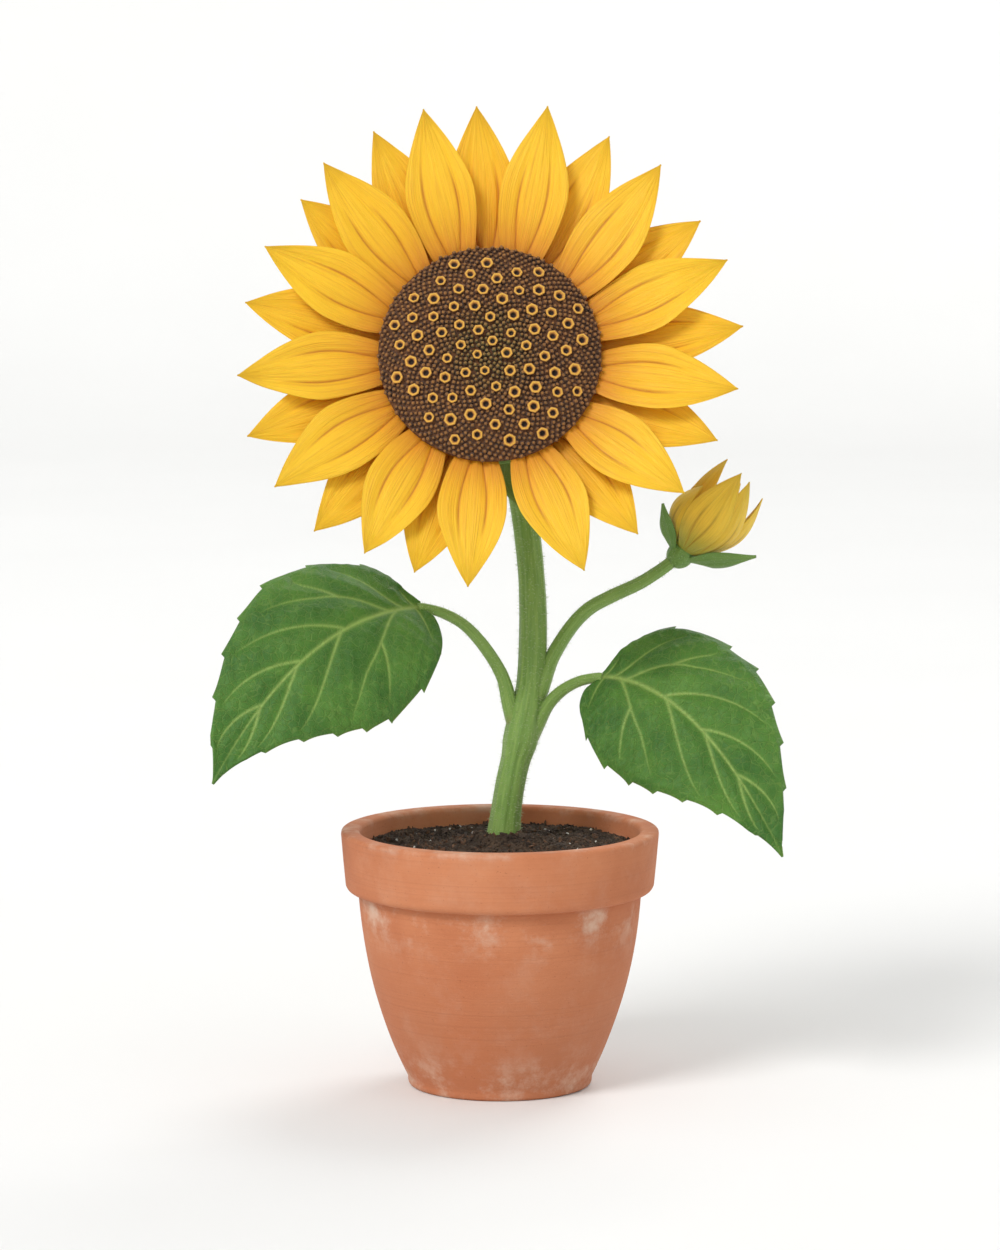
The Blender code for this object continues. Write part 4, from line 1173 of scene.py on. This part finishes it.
knob_line = [(BUD_KNOB_RADIUS * 0.97 * math.sin(a),
              -math.cos(a) * (BUD_KNOB_RADIUS * 0.97 if a < math.pi / 2 else BUD_KNOB_CROWN))
             for a in (math.pi * i / 32 for i in range(33))]
knob_line[0], knob_line[-1] = (0.0, knob_line[0][1]), (0.0, knob_line[-1][1])
bud_base = turned("bud_base", knob_line[::-1], cup_skin, steps=80, wobble=ribbed_knob)
bud_base.data.transform(bud_place)
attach(bud_base, "root")
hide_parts("bud_knob")

# The last colour serves the fine lines and the painted shade in the creases.
bud_skin = petal_finish("bud petal skin", (0.230, 0.330, 0.040), (0.830, 0.520, 0.030), (0.960, 0.640, 0.050),
                        (0.480, 0.270, 0.012))
along, across, flat = across_and_along(65, 37)
for ring, layer in BUD_RINGS.items():
    for i, (turn, tip_height, tip_out, swell, left, right) in enumerate(layer["petals"]):
        rng = np.random.default_rng(300 + 20 * len(layer["petals"]) + i)
        out = layer["foot_out"] + (tip_out - layer["foot_out"]) * along**1.6 + swell * np.sin(math.pi * along**0.80)
        upward = layer["foot_up"] + (tip_height - layer["foot_up"]) * along
        # The foot tucks in against the base.
        tuck = np.clip(1 - along / 0.10, 0, 1) ** 2
        out, upward = out - 0.0008 * tuck, upward - 0.0004 * tuck
        half = layer["half_width"] * petal_widths(along, 0.42, 0.32) / np.maximum(out, 0.004)
        stand_off = np.where(across > 0, right, left)
        out = out + stand_off * np.abs(across) * np.minimum(1.0, np.minimum(6 * along, 2.5 * (1 - along)))
        folds = creases(across, along, (-0.34, 0.34), 0.06, (0.62, 0.66))
        out = out - 0.00035 * folds + 0.00009 * np.cos(across * 19) * np.sin(math.pi * along)
        angle = math.radians(turn) + across * half
        middle = moved(bud_place, out * np.sin(angle), -out * np.cos(angle), upward)
        thick = thinned(PETAL_THICKNESS / 2, across, 0.10)
        readings = {"crease": folds, "tone": rng.uniform(0, 1)}
        made = sheet(f"{ring}_{i + 1}", middle, bud_skin, thick, thick, flat, readings, -1.0)
        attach(made, "root")
        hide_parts(f"{layer['node']}_{i + 1}")

along, across, flat = across_and_along(57, 17)
for i, (turn, middle_spread, roll, length, half_width) in enumerate(BUD_SEPALS):
    angle = math.radians(turn)
    radial = np.array((math.sin(angle), -math.cos(angle), 0.0))
    sideways = np.array((math.cos(angle), math.sin(angle), 0.0))
    up = np.array((0.0, 0.0, 1.0))
    spread = (math.radians(middle_spread) - 0.16 * (along - 0.5))[..., None]
    heading = radial * np.sin(spread) + up * np.cos(spread)
    over = np.cross(heading, sideways)
    tilt = (math.radians(roll) * np.minimum(1.0, 0.4 + 2 * along))[..., None]
    width = np.maximum(np.sin(math.pi * (0.18 + 0.82 * along)), 0.0) ** 1.15
    width = np.maximum(width, 0.02)[..., None] * half_width
    edge_line = sideways * np.cos(tilt) + over * np.sin(tilt)
    ribs = (0.0002 * np.cos(across * math.pi * 2.5) * np.sin(math.pi * np.clip(along, 0.02, 0.98)))[..., None]
    middle = radial * 0.0062 + up * 0.0006 + heading * (length + 0.0014) * along[..., None]
    middle = middle + edge_line * width * across[..., None] + over * (0.0012 * across[..., None] ** 2 + ribs)
    thick = thinned(BUD_SEPAL_THICKNESS / 2, across, 0.14)
    middle = moved(bud_place, *np.moveaxis(middle, -1, 0))
    made = sheet(f"bud_leaflet_{i + 1}", middle, bract_skin, thick, thick, flat, {})
    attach(made, "root")
    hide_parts(f"bud_sepal_{i + 1}")

# ---------------------------------------------------------------- studio
# A wide pale floor, soft light from large lamps and a pale surround, and a camera a little above the pot.

FLOOR_GREY = (0.800, 0.800, 0.790)
FLOOR_PALE = (0.830, 0.830, 0.820)
SURROUND_STRENGTH = 0.58
# Each lamp's direction from the plant, how wide it looks in degrees, and its strength.
LAMPS = {
    "key lamp": ((-1.15, -1.50, 1.70), 22, 1.75),
    "fill lamp": ((1.70, -1.30, 0.90), 40, 0.35),
    "back lamp": ((0.90, 1.60, 1.80), 30, 0.95),
}
CAMERA_SPOT = Vector((0.0, -2.5, 0.543))
CAMERA_AIM = Vector((0.0, 0.0, 0.233))
LENS_MM = 145.1

floor_look, place = new_finish("pale floor")
speck = place.grain(3.0, 2.0, 0.5)
finish(floor_look, FLOOR_GREY, ((speck, FLOOR_PALE),), 0.85 + 0.05 * speck, speck, 0.0001)
sweep = [(0.0, 0.0), (1.5, 0.0), (3.2, 0.0), *curve_points((3.6, 0.0), (5.4, 0.0), (5.6, 3.2), 24)]
floor = turned("studio_floor", sweep[::-1], floor_look, steps=96)

world = bpy.data.worlds.new("pale surround")
world.use_nodes = True
surround = world.node_tree.nodes["Background"].inputs
surround["Color"].default_value = (1.0, 1.0, 1.0, 1.0)
surround["Strength"].default_value = SURROUND_STRENGTH
bpy.context.scene.world = world
bpy.context.scene.view_settings.view_transform = "Standard"

for name, (spot, softness, strength) in LAMPS.items():
    lamp = bpy.data.lights.new(name, "SUN")
    lamp.angle = math.radians(softness)
    lamp.energy = strength
    holder = bpy.data.objects.new(name, lamp)
    holder.location = spot
    holder.rotation_euler = (-Vector(spot)).to_track_quat("-Z", "Y").to_euler()
    bpy.context.scene.collection.objects.link(holder)

lens = bpy.data.cameras.new("camera")
lens.lens = LENS_MM
camera = bpy.data.objects.new("camera", lens)
camera.location = CAMERA_SPOT
camera.rotation_euler = (CAMERA_AIM - CAMERA_SPOT).to_track_quat("-Z", "Y").to_euler()
bpy.context.scene.collection.objects.link(camera)
bpy.context.scene.camera = camera
